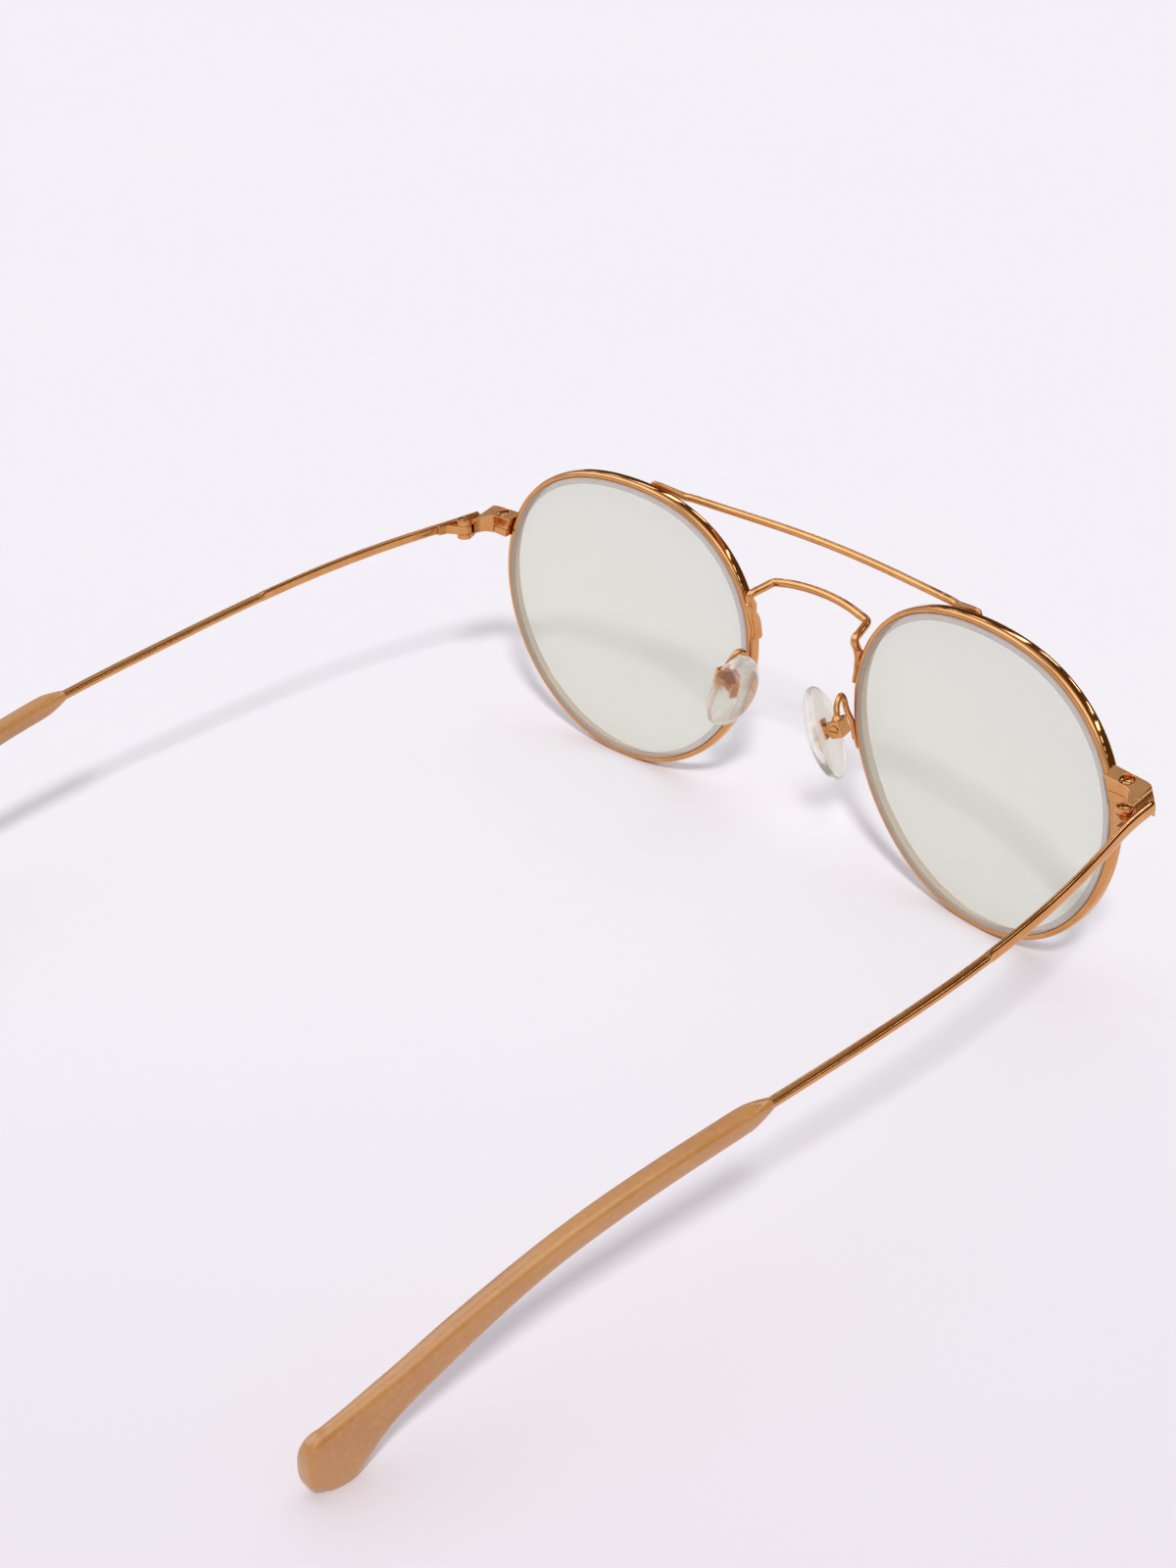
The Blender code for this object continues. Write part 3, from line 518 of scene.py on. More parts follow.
def eyewireSection():
    # Inset from the outline and depth: a crowned outside, rounded lips and a V groove inside.
    half = rimSizes["halfDepth"]
    wall = rimSizes["wall"]
    groove = rimSizes["groove"]
    outside = []
    for i in range(17):
        share = -1 + 2 * i / 16
        outside.append((0.30 * abs(share) ** 4, half * share * (1 - 0.06 * abs(share) ** 6)))
    rear = [(0.48, half * 0.985), (0.66, half), (0.84, half * 0.97), (wall, half * 0.88)]
    rear += [(wall, 0.68), (groove + 0.03, 0.27), (groove, 0.18)]
    return outside + rear + [(inset, -depth) for inset, depth in reversed(rear)]


def makeRim(word, side):
    halfGap = rimSizes["splitGap"] / 2 / rimSizes["radius"]
    start = rimSizes["splitAngle"] + halfGap
    sweep = 2 * math.pi - 2 * halfGap
    section = eyewireSection()
    rings = []
    for i in range(rimSizes["segments"] + 1):
        angle = start + sweep * i / rimSizes["segments"]
        ring = [rimPlace(angle, inset, depth) for inset, depth in section]
        rings.append([(x, y, max(z, 0.0)) for x, y, z in ring])
    settle(skin("eyewire_" + word, rings, [gold], side), "front", "metal", "rim_" + word)


# Lenses: a clear meniscus whose ground edge sits in the groove and shows as a pale ring.

lensSizes = {
    "edgeInset": 0.99, "bevelInset": 0.58, "front": -0.94, "thickness": 2.1, "base": 130.0,
    "segments": 180, "shares": (0.02, 0.2, 0.4, 0.58, 0.74, 0.87), "halo": 1.0,
    "proud": (0.9, 1.28),
}


def makeLens(word, side):
    sizes = lensSizes
    angles = [2 * math.pi * i / sizes["segments"] for i in range(sizes["segments"])]
    rear = sizes["front"] + sizes["thickness"]
    middle = (sizes["front"] + rear) / 2 - 0.1
    edgeInset = sizes["edgeInset"]

    def faceRing(share, depth):
        bulge = (1 - share ** 2) * rimSizes["radius"] ** 2 / (2 * sizes["base"])
        return [
            rimPlace(a, rimRadius(a) - (rimRadius(a) - edgeInset) * share, depth - bulge)
            for a in angles
        ]

    rings = [faceRing(share, sizes["front"]) for share in sizes["shares"]]
    slots = [0] * len(rings)
    seated, proud = sizes["proud"]
    edge = [
        (edgeInset, sizes["front"]), (edgeInset, middle - 0.46), (sizes["bevelInset"], -0.02),
        (sizes["bevelInset"], 0.02), (edgeInset, middle + 0.46), (edgeInset, seated),
        (edgeInset, proud - 0.05), (edgeInset + 0.06, proud),
    ]
    rings += [[rimPlace(a, inset, depth) for a in angles] for inset, depth in edge]
    slots += [1, 1, 1, 1, 1, 2, 2, 3]
    rings.append(faceRing(1 - sizes["halo"] / rimSizes["radius"], proud))
    slots.append(0)
    rings += [faceRing(share, blend(rear, proud, share)) for share in reversed(sizes["shares"])]
    slots += [0] * len(sizes["shares"])
    materials = [lensFace, lensBevel, lensEdge, lensHalo]
    piece = skin("lens_disc_" + word, rings, materials, side, slots, 30)
    settle(piece, "front", "lens", "lens_" + word)


# Brow bar and bridge

barSizes = {"radius": 0.62, "endX": 32.9, "padHalf": (0.34, 0.82), "rimFront": 1.04}


def barPlace(x):
    u = x / 19.4
    y = -6.355 + 1.18 * u ** 2 + 0.187 * u ** 4
    z = 45.64 - 0.294 * u ** 2 + 0.295 * u ** 4
    share = (abs(x) - 27.6) / 4.2
    halfDepth = blend(barSizes["radius"], barSizes["padHalf"][0], share)
    halfHeight = blend(barSizes["radius"], barSizes["padHalf"][1], share)
    if abs(x) > 24:
        _, rimY, rimZ = rimTop(abs(x))
        y = softLeast(y, rimY - barSizes["rimFront"] - halfDepth + 0.04)
        z = softLeast(z, rimZ - 0.55 + blend(1.2, 0.0, (abs(x) - 24) / 3.5))
    return Vector((x, y, z)), halfDepth, halfHeight


def makeBrowBar():
    end = barSizes["endX"]
    rings = []
    for x in np.linspace(-end, end, 241):
        centre, halfDepth, halfHeight = barPlace(x)
        way = (barPlace(x + 0.2)[0] - barPlace(x - 0.2)[0]).normalized()
        across = way.cross(Vector((0, 0, 1))).normalized()
        rounding = math.sqrt(max(1 - max(abs(x) - end + 0.7, 0) ** 2 / 0.72 ** 2, 0.04))
        power = blend(2.0, 2.7, (abs(x) - 29.6) / 2)
        halfDepth *= 0.5 + 0.5 * rounding
        rings.append(
            ringAt(centre, across, across.cross(way), halfDepth, halfHeight * rounding, power, 24)
        )
    settle(skin("brow_bar_wire", rings, [gold]), "front", "metal", "brow_bar")


bridgeSizes = {
    "radius": 0.65, "halfWidth": 9.3, "knee": (10.55, -0.85, 35.9), "footTop": 33.4,
    "footBottom": 28.4,
}


def makeBridge():
    sizes = bridgeSizes
    half = []
    for i in range(9):
        x = sizes["halfWidth"] * i / 8
        u = x / 9.7
        half.append((x, -5.537 + 1.845 * u ** 2 - 0.846 * u ** 4,
                     38.07 - 0.308 * u ** 2 - 0.699 * u ** 4))
    footX, footY, _ = rimNasal(sizes["footTop"])
    half += [
        (9.72, -4.05, 36.95), (10.05, -2.9, 36.6), (10.38, -1.7, 36.28), sizes["knee"],
        (10.66, -0.8, 35.2), (footX - 0.9, footY + 0.7, sizes["footTop"] + 0.9),
        (footX - 0.72, footY + 0.45, sizes["footTop"] - 0.4),
        (footX - 0.6, footY + 0.2, sizes["footTop"] - 1.6),
    ]
    left = half[1:]
    points = [(-x, y, z) for x, y, z in reversed(left)] + [half[0]] + left
    rings = tubeRings(smoothPath(points, 0.16), sizes["radius"], 20, 0.5)
    pieces = [skin("bridge_saddle", rings, [gold])]
    for side in sides.values():
        pieces.append(skin("bridge_foot", footRings(), [gold], side))
    settle(join("bridge_wire", pieces), "front", "metal", "bridge")


def footRings():
    # The wire's flattened end, which lies on the rim's nasal side.
    top = bridgeSizes["footTop"] + 0.9
    bottom = bridgeSizes["footBottom"]
    rings = []
    for share in np.linspace(0, 1, 45):
        z = top - (top - bottom) * share
        edgeX, edgeY, _ = rimNasal(z)
        end = math.sqrt(max(1 - max(abs(share - 0.5) * 2 - 0.86, 0) ** 2 / 0.1401 ** 2, 0.0))
        halfOut = blend(0.52, 0.36, share * 1.3)
        halfWide = blend(0.6, 0.97, share * 2.0) * (0.25 + 0.75 * end)
        centre = (edgeX + 0.05 - halfOut, edgeY + blend(0.7, 0.0, share * 1.6), z)
        halfOut *= 0.45 + 0.55 * end
        rings.append(ringAt(centre, (1, 0, 0), (0, 1, 0), halfOut, halfWide, 2.8, 20))
    return rings


# Temples: an oval strip that steps down into a round wire.

templeSizes = {
    "y": (3.60, 7.76, 18.00, 33.95, 63.05, 92.15, 111.55, 130.95, 145.50),
    "x": (67.72, 68.25, 70.43, 72.97, 73.66, 72.13, 69.94, 67.52, 66.00),
    "z": (32.62, 32.42, 31.56, 29.78, 26.37, 22.75, 17.97, 9.23, 1.14),
    "strip": (0.46, 0.86), "lean": math.radians(10), "wire": 0.71, "stepY": 43.0, "endY": 84.0,
}
templeX = splineThrough(templeSizes["y"], templeSizes["x"])
templeZ = splineThrough(templeSizes["y"], templeSizes["z"])


def templePlace(y):
    return Vector((templeX(y), y, templeZ(y)))


def makeTemple(word, side):
    sizes = templeSizes
    start = sizes["y"][0]
    step = sizes["stepY"]
    places = [start + t for t in (0, 0.03, 0.08, 0.15)]
    places += list(np.arange(start + 0.8, step - 1.2, 0.8))
    places += list(np.arange(step - 1.2, step + 1.8, 0.08))
    places += list(np.arange(step + 2.4, sizes["endY"], 0.8))
    rings = []
    for y in places:
        share = (y - step + 0.7) / 1.5
        halfAcross = blend(sizes["strip"][0], sizes["wire"], share)
        halfUp = blend(sizes["strip"][1], sizes["wire"], share)
        trim = {0: 0.12, 0.03: 0.06, 0.08: 0.02}.get(round(y - start, 3), 0.0)
        way = (templePlace(y + 0.3) - templePlace(y - 0.3)).normalized()
        across = way.cross(Vector((0, 0, 1))).normalized()
        across = Matrix.Rotation(-blend(sizes["lean"], 0, share), 3, way) @ across
        rings.append(ringAt(templePlace(y), across, across.cross(way), halfAcross - trim,
                            halfUp - trim, blend(2.6, 2.0, share), 32))
    piece = skin("temple_wire_" + word, rings, [gold], side, sharp=50)
    settle(piece, "temple_" + word, "metal", "temple_" + word)


# Temple tips: an ogive nose, a slow swell and a foot that stands on the floor.

tipSizes = {
    "start": 80.3, "halfWidth": 1.40, "roundEnd": (2.5, 3.1, 2.6), "power": 2.9,
    "y": (84.0, 94.0, 104.0, 112.0, 120.0, 127.0, 131.0, 134.8, 138.6, 141.4),
    "above": (1.52, 1.50, 1.50, 1.52, 1.72, 2.15, 2.42, 3.02, 3.70, 4.30),
    "below": (1.55, 1.65, 1.85, 1.97, 2.45, 2.92, 3.10, 4.05, 5.50, 3.95),
}


def makeTip(word, side):
    sizes = tipSizes
    tipAbove = splineThrough(sizes["y"], sizes["above"])
    tipBelow = splineThrough(sizes["y"], sizes["below"])
    noseEnd = sizes["y"][0]
    bodyEnd = sizes["y"][-1]
    least = templeSizes["wire"] + 0.1
    sections = [(sizes["start"] + 0.12, 0.60, 0.60, 0.60), (sizes["start"], 0.74, 0.74, 0.74)]
    for share in np.linspace(0.015, 1, 26):
        swell = 1 - (1 - share) ** 1.6
        sections.append((
            sizes["start"] + (noseEnd - sizes["start"]) * share,
            least + (sizes["above"][0] - least) * swell,
            least + (sizes["below"][0] - least) * swell,
            least + (sizes["halfWidth"] - least) * swell,
        ))
    for y in np.arange(noseEnd + 0.5, bodyEnd + 0.01, 0.45):
        sections.append((y, tipAbove(y), tipBelow(y), sizes["halfWidth"]))
    length, drop, rise = sizes["roundEnd"]
    endZ = templeZ(bodyEnd)
    for degrees in (8, 16, 24, 32, 40, 48, 56, 63, 69, 74, 78):
        y = bodyEnd + length * math.sin(math.radians(degrees))
        turn = 1 - math.cos(math.radians(degrees))
        width = math.sqrt(math.sqrt(max(1 - (degrees / 84) ** 4, 0)))
        sections.append((
            y, endZ + sizes["above"][-1] - drop * turn - templeZ(y),
            templeZ(y) - max(endZ - sizes["below"][-1], -0.05) - rise * turn,
            sizes["halfWidth"] * width,
        ))
    rings = []
    for y, above, below, halfWidth in sections:
        centre = templePlace(y) + Vector((0, 0, (above - below) / 2))
        power = blend(2.0, sizes["power"], (y - sizes["start"]) / 6)
        ring = ringAt(centre, (1, 0, 0), (0, 0, 1), halfWidth, (above + below) / 2, power, 48)
        rings.append([(px, py, max(pz, 0.0)) for px, py, pz in ring])
    piece = skin("ear_tip_" + word, rings, [caramel], side, sharp=60)
    settle(piece, "temple_" + word, "tip", "temple_tip_" + word)


# End pieces: each holds the rim's split shut with a screw, and carries the hinge.

lugSizes = {
    "front": 1.60, "rear": 3.95, "bottom": 31.15, "top": 35.00, "slopes": (-0.08, -0.30),
    "butt": (68.05, 3.46), "armX": 66.9, "scoop": (2.2, (68.0, 4.4, 34.8)), "split": 32.40,
    "innerArc": (62.95, 6.20, 2.25), "blockEnd": 63.50, "screw": (62.7, 2.78),
    "head": (0.98, 0.55), "shaft": 0.50, "slot": 0.15,
}


def lugTop(x, y):
    slopeX, slopeY = lugSizes["slopes"]
    return lugSizes["top"] + slopeX * (x - 60.4) + slopeY * (y - lugSizes["front"])


def rimPlug():
    # The space that the rim takes, as a cutter.
    angles = [2 * math.pi * i / 240 for i in range(240)]
    points = [rimPlace(a, -0.03, depth) for depth in (-4.0, 6.0) for a in angles]
    count = len(angles)
    faces = [tuple(range(count))[::-1], tuple(range(count, 2 * count))]
    faces += [(i, (i + 1) % count, count + (i + 1) % count, count + i) for i in range(count)]
    return points, faces


def makeEndPieces():
    sizes = lugSizes
    front = sizes["front"]
    outline = [
        (58.6, front), (64.9, front), (65.45, front + 0.07), (66.1, front + 0.30),
        (66.75, front + 0.70), (67.4, front + 1.25), sizes["butt"],
        (sizes["armX"], sizes["butt"][1]), (sizes["armX"], 6.2),
        *arc(*sizes["innerArc"], 0, -90, 24), (58.6, sizes["rear"]),
    ]
    points, faces = prism(outline, sizes["bottom"], sizes["top"])
    points = [(x, y, lugTop(x, y) if z > sizes["split"] else z) for x, y, z in points]
    radius, centre = sizes["scoop"]
    tilt = Matrix.Translation(centre) @ Matrix.Rotation(math.radians(76), 4, "X")
    screwX, screwY = sizes["screw"]
    upright = Matrix.Translation((screwX, screwY, 0))
    headRadius, headHeight = sizes["head"]
    seatZ = lugTop(screwX, screwY) - headHeight
    cuts = [
        block((57, 0, 30), (sizes["blockEnd"] + 0.08, 5.5, sizes["split"] + 0.05)),
        rod(radius, -2.6, 2.6, tilt), rimPlug(),
        rod(headRadius + 0.05, seatZ - 0.04, 36, upright),
    ]
    mesh = carved((points, faces), cuts, voxel=0.05, rounds=10, keep=0.5)
    bothSides("end_piece_lug", mesh, "end_piece", "front", satinGold)

    low = [(58.6, front + 0.1), (sizes["blockEnd"], front + 0.1),
           (sizes["blockEnd"], sizes["rear"]), (58.6, sizes["rear"])]
    base = prism(low, sizes["bottom"], sizes["split"] - 0.03)
    mesh = carved(base, [rimPlug(), rod(0.55, 30, 33, upright)], voxel=0.05, rounds=8, keep=0.5)
    bothSides("closing_jaw", mesh, "closing_block", "front", satinGold)

    turn = Matrix.Rotation(math.radians(102), 4, "Z")
    axes = upright @ Matrix.Translation((0, 0, seatZ)) @ turn
    mesh = makeScrew(sizes["head"], sizes["shaft"], seatZ - sizes["bottom"] - 0.1, axes)
    bothSides("closing_screw_turned", mesh, "closing_screw", "front", satinGold, 32)


def makeScrew(head, shaft, length, axes):
    # A slotted screw whose head stands on zero; its head is crowned a little.
    radius, height = head
    edge = height * 0.35
    profile = [(0, height)]
    profile += [(radius * s, height - 0.05 * s * s) for s in (0.25, 0.5, 0.7)]
    profile += [(radius - edge * (1 - math.sin(a)), height - 0.05 - edge * (1 - math.cos(a)))
                for a in (0.0, 0.4, 0.8, 1.2, 1.57)]
    profile += [(radius, 0.0), (shaft, 0.0), (shaft, 0.15 - length)]
    profile += [(shaft - 0.15, -length), (0, -length)]
    slot = block((-radius - 0.3, -lugSizes["slot"], height * 0.35),
                 (radius + 0.3, lugSizes["slot"], height + 0.3), axes)
    return carved(turned(profile, axes), [slot])


# Hinges: two knuckles on the end piece and one on the temple, on a slotted pin.

hingeSizes = {
    "pin": (66.3, 7.8), "knuckle": 1.2, "z": (30.60, 31.40, 32.85, 33.70),
    "plateY": (6.28, 6.50), "leafY": (9.7, 11.6), "leafThickness": 0.55,
    "leafZ": (31.45, 32.85), "pinRadius": 0.57, "head": (0.80, 0.36), "play": 0.05,
}


def makeHinges():
    sizes = hingeSizes
    low, slotLow, slotHigh, high = sizes["z"]
    pinX, pinY = sizes["pin"]
    near, far = sizes["plateY"]
    upright = Matrix.Translation((pinX, pinY, 0))
    bore = rod(sizes["pinRadius"] + sizes["play"], low - 1, high + 1, upright, 40)

    outline = [(65.25, near - 0.05), (66.95, near - 0.05)]
    outline += arc(pinX, pinY, sizes["knuckle"], -40, 215, 60)
    points, faces = prism(outline, low, high)
    top = lugTop(pinX, near)
    points = [(x, y, min(max(z, lugSizes["bottom"]), top) if y < near + 0.1 else z)
              for x, y, z in points]
    headRadius, headHeight = sizes["head"]
    cuts = [
        block((pinX - 3, far, slotLow), (pinX + 3, far + 5, slotHigh)), bore,
        rod(headRadius + 0.05, high - headHeight - 0.08, high + 1, upright, 48),
    ]
    mesh = carved((points, faces), cuts, voxel=0.045, rounds=6, keep=0.5)
    bothSides("hinge_knuckles", mesh, "hinge_front", "front", satinGold)

    def leafSide(y, inset):
        return templeX(y) - templeSizes["strip"][0] + 0.12 - inset, y

    leafNear, leafFar = sizes["leafY"]
    thickness = sizes["leafThickness"] + 0.12
    outline = arc(pinX, pinY, sizes["knuckle"], 125, 385, 60)
    outline += [leafSide(9.3, 0.12), leafSide(leafNear, 0), leafSide(leafFar, 0)]
    outline += [leafSide(leafFar, thickness), leafSide(leafNear + 0.5, thickness)]
    points, faces = prism(outline, slotLow + sizes["play"], slotHigh - sizes["play"])
    middle = (slotLow + slotHigh) / 2
    leafLow, leafHigh = sizes["leafZ"]
    points = [(x, y, (leafHigh if z > middle else leafLow) if y > leafNear - 0.1 else z)
              for x, y, z in points]
    mesh = carved((points, faces), [bore], voxel=0.045, rounds=6, keep=0.5)
    bothSides("hinge_leaf", mesh, "hinge_temple", "temple", satinGold)

    seatZ = high - headHeight - 0.03
    turn = Matrix.Rotation(math.radians(-30), 4, "Z")
    axes = upright @ Matrix.Translation((0, 0, seatZ)) @ turn
    mesh = makeScrew(sizes["head"], sizes["pinRadius"], seatZ - low - 0.03, axes)
    bothSides("hinge_pin_turned", mesh, "hinge_screw", "front", satinGold, 32)


# Nose pads, their boxes and their looped arms

padSizes = {
    "centre": (9.57, 3.71, 21.98), "away": (0.887, -0.274, 0.373), "up": (-0.352, 0.124, 0.928),
    "half": (4.30, 7.25), "front": 1.50, "back": 1.10, "screw": (2.35, 0.60),
    "screwRadius": 0.35, "screwHead": (0.72, 0.34), "boxAway": (1.50, 3.50),
    "boxHalf": (1.36, 1.28), "boxSlot": (0.75, 3.12), "plate": (-0.45, -0.05, 1.50),
    "stem": 0.60, "plateHalfWide": 0.65, "armRadius": 0.46,
}
padAway = Vector(padSizes["away"]).normalized()
padAlong = Vector(padSizes["up"]).cross(padAway).normalized()
padUp = padAway.cross(padAlong)


def onPad(away, along, up):
    return Vector(padSizes["centre"]) + padAway * away + padAlong * along + padUp * up


def padAxes(first, second, third, origin):
    axes = Matrix((first, second, third)).transposed().to_4x4()
    axes.translation = origin
    return axes


def makePad(word, side):
    # Domed towards the nose, flatter behind, with a rounded rim between them.
    sizes = padSizes
    halfAlong, halfUp = sizes["half"]
    rings = []
    for place in np.linspace(0.02, 0.98, 61):
        up = -math.cos(math.pi * place)
        fall = math.sqrt(1 - up * up)
        ring = []
        for k in range(64):
            angle = 2 * math.pi * k / 64
            out = math.sin(angle)
            away = math.copysign(abs(out) ** 0.9, out) * fall ** 0.7
            away *= sizes["back"] if out > 0 else sizes["front"]
            along = math.cos(angle) * halfAlong * fall * (1 - 0.06 * up)
            ring.append(tuple(onPad(away, along, halfUp * up)))
        rings.append(ring)
    piece = skin("pad_shell_" + word, rings, [silicone], side, sharp=70)
    settle(piece, "pad_" + word, "pad", "nose_pad_" + word)


def makePadFittings():
    sizes = padSizes
    near, far = sizes["boxAway"]
    halfAlong, halfUp = sizes["boxHalf"]
    slotHalf, slotFar = sizes["boxSlot"]
    screwAway, screwUp = sizes["screw"]
    boxAxes = padAxes(padAway, padAlong, padUp, onPad(0, 0, 0))
    screwAxes = padAxes(padAway, -padUp, padAlong, onPad(screwAway, 0, screwUp))
    hole = rod(sizes["screwRadius"] + 0.05, -3, 3, screwAxes, 32)
    outline = [(near, -halfAlong), (far, -halfAlong), (far, halfAlong), (near, halfAlong)]
    base = prism(outline, screwUp - halfUp, screwUp + halfUp, boxAxes)
    slot = block((near - 0.5, -slotHalf, screwUp - 2), (slotFar, slotHalf, screwUp + 2), boxAxes)
    top = screwUp + halfUp
    solderAxes = boxAxes @ Matrix.Translation(((near + far) / 2 + 0.2, 0, 0))
    solder = turned([(0, top + 0.75), (0.30, top + 0.72), (0.52, top + 0.45), (0.95, top - 0.1),
                     (0.95, top - 0.35), (0, top - 0.35)], solderAxes, 32)
    mesh = carved(base, [slot, hole], [solder], voxel=0.05, rounds=7, keep=0.3)
    bothSides("pad_box_channel", mesh, "pad_box", "front", gold)

    seat = screwAxes @ Matrix.Translation((0, 0, halfAlong + 0.02))
    seat = seat @ Matrix.Rotation(math.radians(25), 4, "Z")
    mesh = makeScrew(sizes["screwHead"], sizes["screwRadius"], 2 * halfAlong - 0.1, seat)
    bothSides("pad_screw_turned", mesh, "pad_screw", "front", gold, 32)

    # The insert: a ribbed plate held in the pad, with a stem out to the screw.
    plateLow, plateHigh, plateHalf = sizes["plate"]
    stem = sizes["stem"]
    outline = [(plateLow, screwUp - plateHalf), (plateHigh, screwUp - plateHalf),
               (plateHigh, screwUp - stem)]
    outline += arc(screwAway, screwUp, stem, -90, 90, 24)
    outline += [(plateHigh, screwUp + stem), (plateHigh, screwUp + plateHalf),
                (plateLow, screwUp + plateHalf)]
    flatAxes = padAxes(padAway, -padUp, padAlong, onPad(0, 0, 0))
    wide = sizes["plateHalfWide"]
    base = prism([(away, -up) for away, up in outline], -wide, wide, flatAxes)
    cuts = [hole]
    for offset in (-1.0, -0.5, 0.0, 0.5, 1.0):
        at = screwUp + offset
        cuts.append(block((plateLow - 0.1, -at - 0.11, -1), (plateLow + 0.13, -at + 0.11, 1),
                          flatAxes))
    mesh = carved(base, cuts)
    bothSides("pad_insert_stamped", mesh, "pad_insert", "pad", satinGold, 32)


def makePadArm(word, side):
    sizes = padSizes
    footZ = 21.6
    rimX, rimY, _ = rimNasal(footZ)
    near, far = sizes["boxAway"]
    boxTop = onPad((near + far) / 2 + 0.2, 0, sizes["screw"][1] + sizes["boxHalf"][1] + 0.05)
    points = [
        (rimX - 0.40, rimY + 0.35, footZ - 2.0), (rimX - 0.46, rimY + 0.7, footZ - 0.4),
        (rimX - 0.60, rimY + 1.0, footZ + 1.0), (10.0, -0.55, 23.9), (9.97, -0.05, 25.1),
        (10.02, 0.35, 26.2), (10.12, 0.78, 27.0), (10.25, 1.3, 27.42), (10.42, 1.88, 27.4),
        (10.6, 2.4, 27.0), (10.78, 2.82, 26.3),
        (boxTop.x - 0.1, boxTop.y - 0.05, boxTop.z + 0.7), tuple(boxTop),
    ]
    rings = tubeRings(smoothPath(points, 0.14), sizes["armRadius"], 18, 0.3)
    wire = skin("arm", rings, [gold], side)
    rings = []
    low = 18.2
    high = footZ + 1.0
    for share in np.linspace(0, 1, 31):
        z = low + (high - low) * share
        edgeX, edgeY, _ = rimNasal(z)
        end = math.sqrt(max(1 - max(0.14 - share, share - 0.9, 0) ** 2 / 0.1401 ** 2, 0))
        halfOut = blend(0.30, 0.38, share * 1.4)
        centre = (edgeX + 0.04 - halfOut, edgeY + 0.1 + 0.8 * share, z)
        rings.append(ringAt(centre, (1, 0, 0), (0, 1, 0), halfOut * (0.5 + 0.5 * end),
                            (0.84 - 0.35 * share) * (0.3 + 0.7 * end), 2.8, 18))
    foot = skin("arm_foot", rings, [gold], side)
    settle(join("pad_arm_wire_" + word, [wire, foot]), "front", "metal", "pad_arm_" + word)


makeBrowBar()
makeBridge()
for word, side in sides.items():
    makeRim(word, side)
    makeLens(word, side)
    makeTemple(word, side)
    makeTip(word, side)
    makePad(word, side)
    makePadArm(word, side)
    print("wires, lenses and pads made:", word)
makeEndPieces()
makeHinges()
makePadFittings()
print("end pieces, hinges and pad fittings made")


# Floor, light and camera

roomSizes = {
    "pale": colour(243, 240, 245), "daylight": 0.43, "walls": 0.52, "darkest": 0.10,
    "darkWay": (-0.21, -0.97, -0.50), "window": (-0.37, 0.33, 0.87),
    "sideWindow": (0.62, 0.42, 0.66), "sideGlow": 1.2, "lamp": 5.0,
    "cool": (0.93, 1.0, 1.12, 1), "warm": (1.0, 0.62, 0.30, 1),
    "rimRow": (-1.15, 0.455, 0.874),
    "key": ((-0.68, 0.62, 1.0), 8, 1.68), "fill": ((0.5, -0.45, 0.9), 80, 0.80),
}


def makeFloor():
    size = 3.0
    corners = [(-size, -size, 0), (size, -size, 0), (size, size, 0), (-size, size, 0)]
    finish = Finish("pale_floor", {"Roughness": 0.9, "Specular IOR Level": 0.1})
    clouds = finish.noise(90.0, 3.0)
    x, y = (finish.node("ShaderNodeSeparateXYZ", None, {0: finish.place()}, k) for k in (0, 1))
    # Painted shade: the floor is coloured darker towards the camera side.
    paintedShadeNear = (y * 0.67 - x * 0.74).step(-60, 260)
    tone = finish.mix(paintedShadeNear, colour(245, 243, 247), colour(230, 222, 230))
    tone = finish.mix(clouds * 0.4, tone, colour(247, 241, 248))
    mesh = meshOf("floor", corners, [(0, 1, 2, 3)])
    mesh.materials.append(finish.set(Base_Color=tone))
    place("floor", mesh)


def makeSun(name, direction, spread, strength):
    # Light from a direction; its spread is the width of the source in degrees.
    lamp = bpy.data.lights.new(name, "SUN")
    lamp.energy = strength
    lamp.angle = math.radians(spread)
    holder = bpy.data.objects.new(name, lamp)
    holder.rotation_euler = Vector(direction).to_track_quat("Z", "Y").to_euler()
    holder.visible_glossy = False
    bpy.context.scene.collection.objects.link(holder)


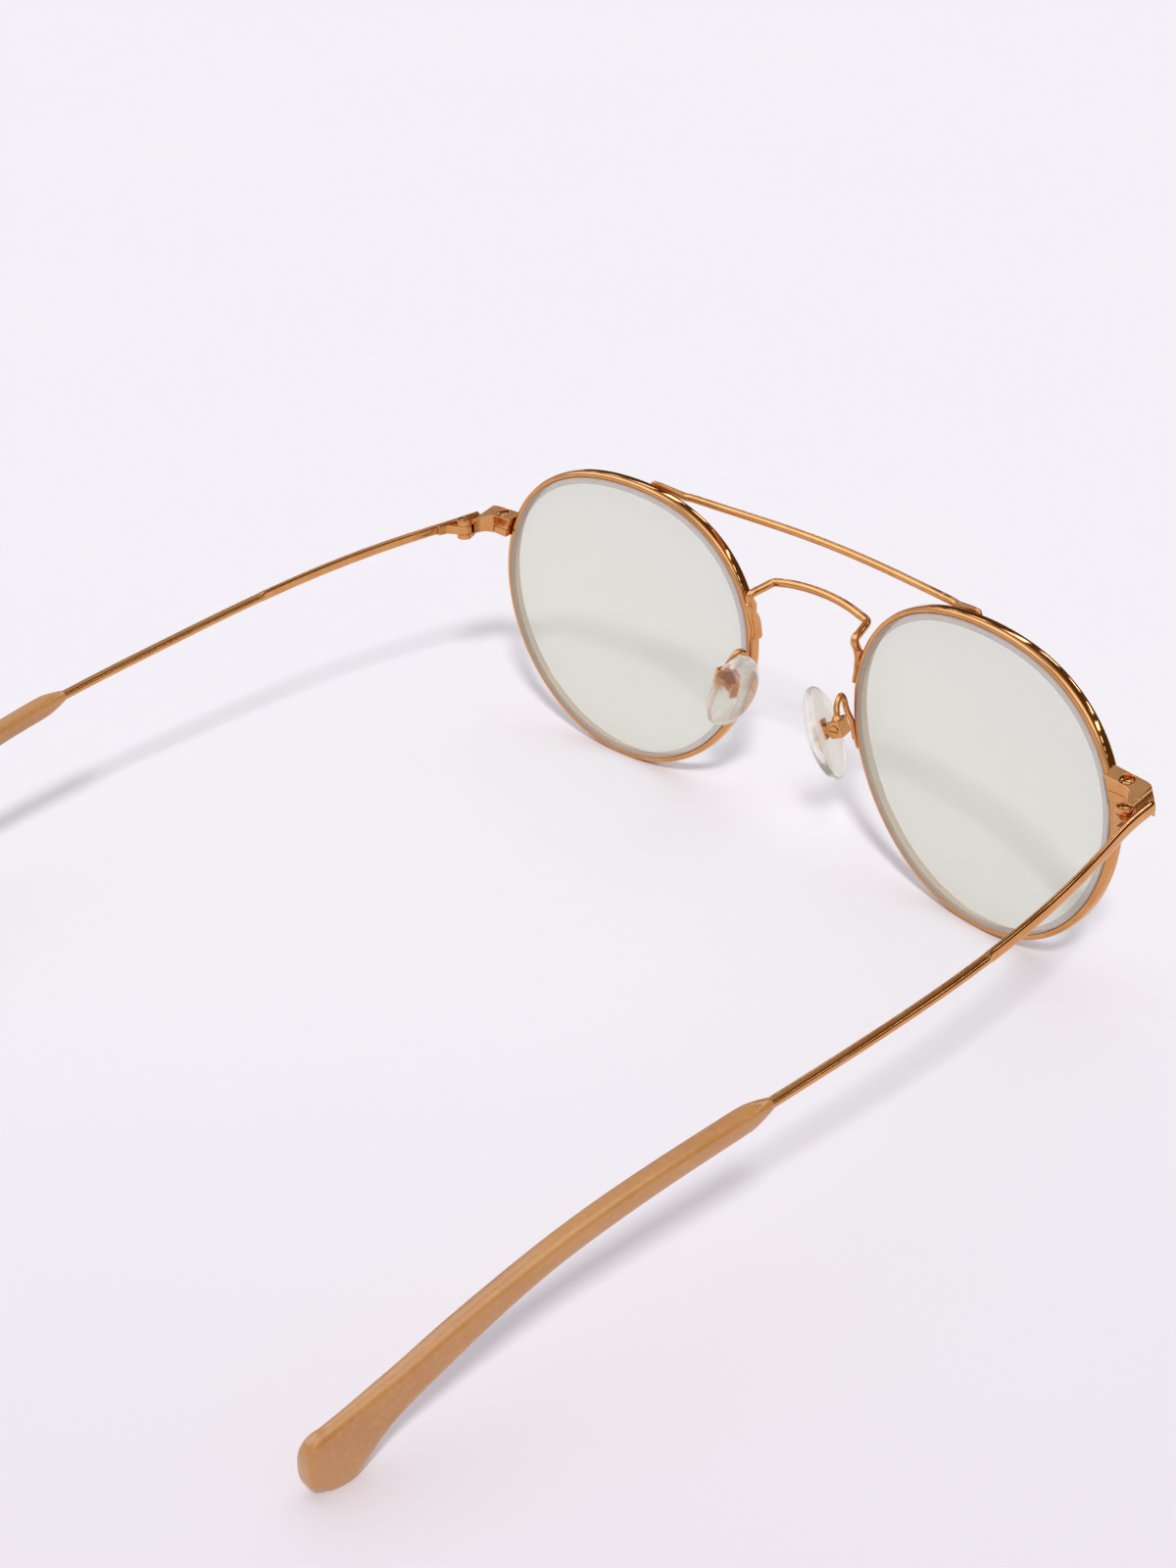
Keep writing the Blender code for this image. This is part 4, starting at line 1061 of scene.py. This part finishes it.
def makeRoom():
    # What the metal mirrors: cool pale walls, a warm dark side, two windows and a row of lamps.
    sizes = roomSizes
    world = bpy.data.worlds.new("room")
    world.use_nodes = True
    nodes = Nodes(world.node_tree)
    way = nodes.node("ShaderNodeTexCoord", output="Generated")
    x, y, z = (nodes.node("ShaderNodeSeparateXYZ", None, {0: way}, k) for k in range(3))

    def along(direction):
        return x * direction[0] + y * direction[1] + z * direction[2]

    shade = along(sizes["darkWay"]).step(-0.25, 0.30)
    height = z.math("MAXIMUM", z, 0.05)
    u = x / height
    v = y / height
    rowV, pitch, shift = sizes["rimRow"]
    lamps = z.math("PINGPONG", u / pitch + shift, 0.5).step(0.20, 0.25)
    lamps = lamps * (1 - z.math("ABSOLUTE", v - rowV, 0).step(0.08, 0.12))
    lamps = lamps * z.step(0.30, 0.36)
    mirrored = sizes["walls"] * (1 - shade) + sizes["darkest"] + lamps * sizes["lamp"]
    mirrored = mirrored + along(sizes["window"]).step(0.80, 0.93)
    mirrored = mirrored + along(sizes["sideWindow"]).step(0.86, 0.93) * sizes["sideGlow"]
    rays = {name: nodes.node("ShaderNodeLightPath", output=name)
            for name in ("Is Diffuse Ray", "Is Glossy Ray")}
    plain = 1 - rays["Is Diffuse Ray"] - rays["Is Glossy Ray"]
    strength = plain + rays["Is Diffuse Ray"] * sizes["daylight"]
    strength = strength + rays["Is Glossy Ray"] * mirrored
    background = world.node_tree.nodes["Background"]
    tint = nodes.mix(lamps.math("MAXIMUM", lamps, 1 - shade), sizes["warm"], sizes["cool"])
    nodes.plug(background.inputs["Color"], nodes.mix(rays["Is Glossy Ray"], sizes["pale"], tint))
    nodes.plug(background.inputs["Strength"], strength)
    bpy.context.scene.world = world


makeFloor()
makeSun("key", *roomSizes["key"])
makeSun("fill", *roomSizes["fill"])
makeRoom()
print("floor and light set")

cameraSizes = {
    "azimuth": math.radians(227.792), "elevation": math.radians(28.04),
    "roll": math.radians(0.587), "lens": 66.13, "place": (-262.8, 280.12, 212.73),
}


def makeCamera():
    azimuth = cameraSizes["azimuth"]
    elevation = cameraSizes["elevation"]
    roll = cameraSizes["roll"]
    back = Vector((math.sin(azimuth) * math.cos(elevation),
                   -math.cos(azimuth) * math.cos(elevation), math.sin(elevation)))
    right = (-back).cross(Vector((0, 0, 1))).normalized()
    down = (-back).cross(right)
    turnedRight = math.cos(roll) * right + math.sin(roll) * down
    turnedDown = -math.sin(roll) * right + math.cos(roll) * down
    matrix = Matrix((turnedRight, -turnedDown, back)).transposed().to_4x4()
    matrix.translation = Vector(toRow(cameraSizes["place"]))
    data = bpy.data.cameras.new("camera")
    data.sensor_fit = "VERTICAL"
    data.sensor_height = 36
    data.sensor_width = 27
    data.lens = cameraSizes["lens"]
    data.clip_start = 0.01
    holder = bpy.data.objects.new("camera", data)
    holder.matrix_world = matrix
    bpy.context.scene.collection.objects.link(holder)
    bpy.context.scene.camera = holder


makeCamera()
bpy.context.scene.view_settings.view_transform = "Standard"

bpy.context.view_layer.update()
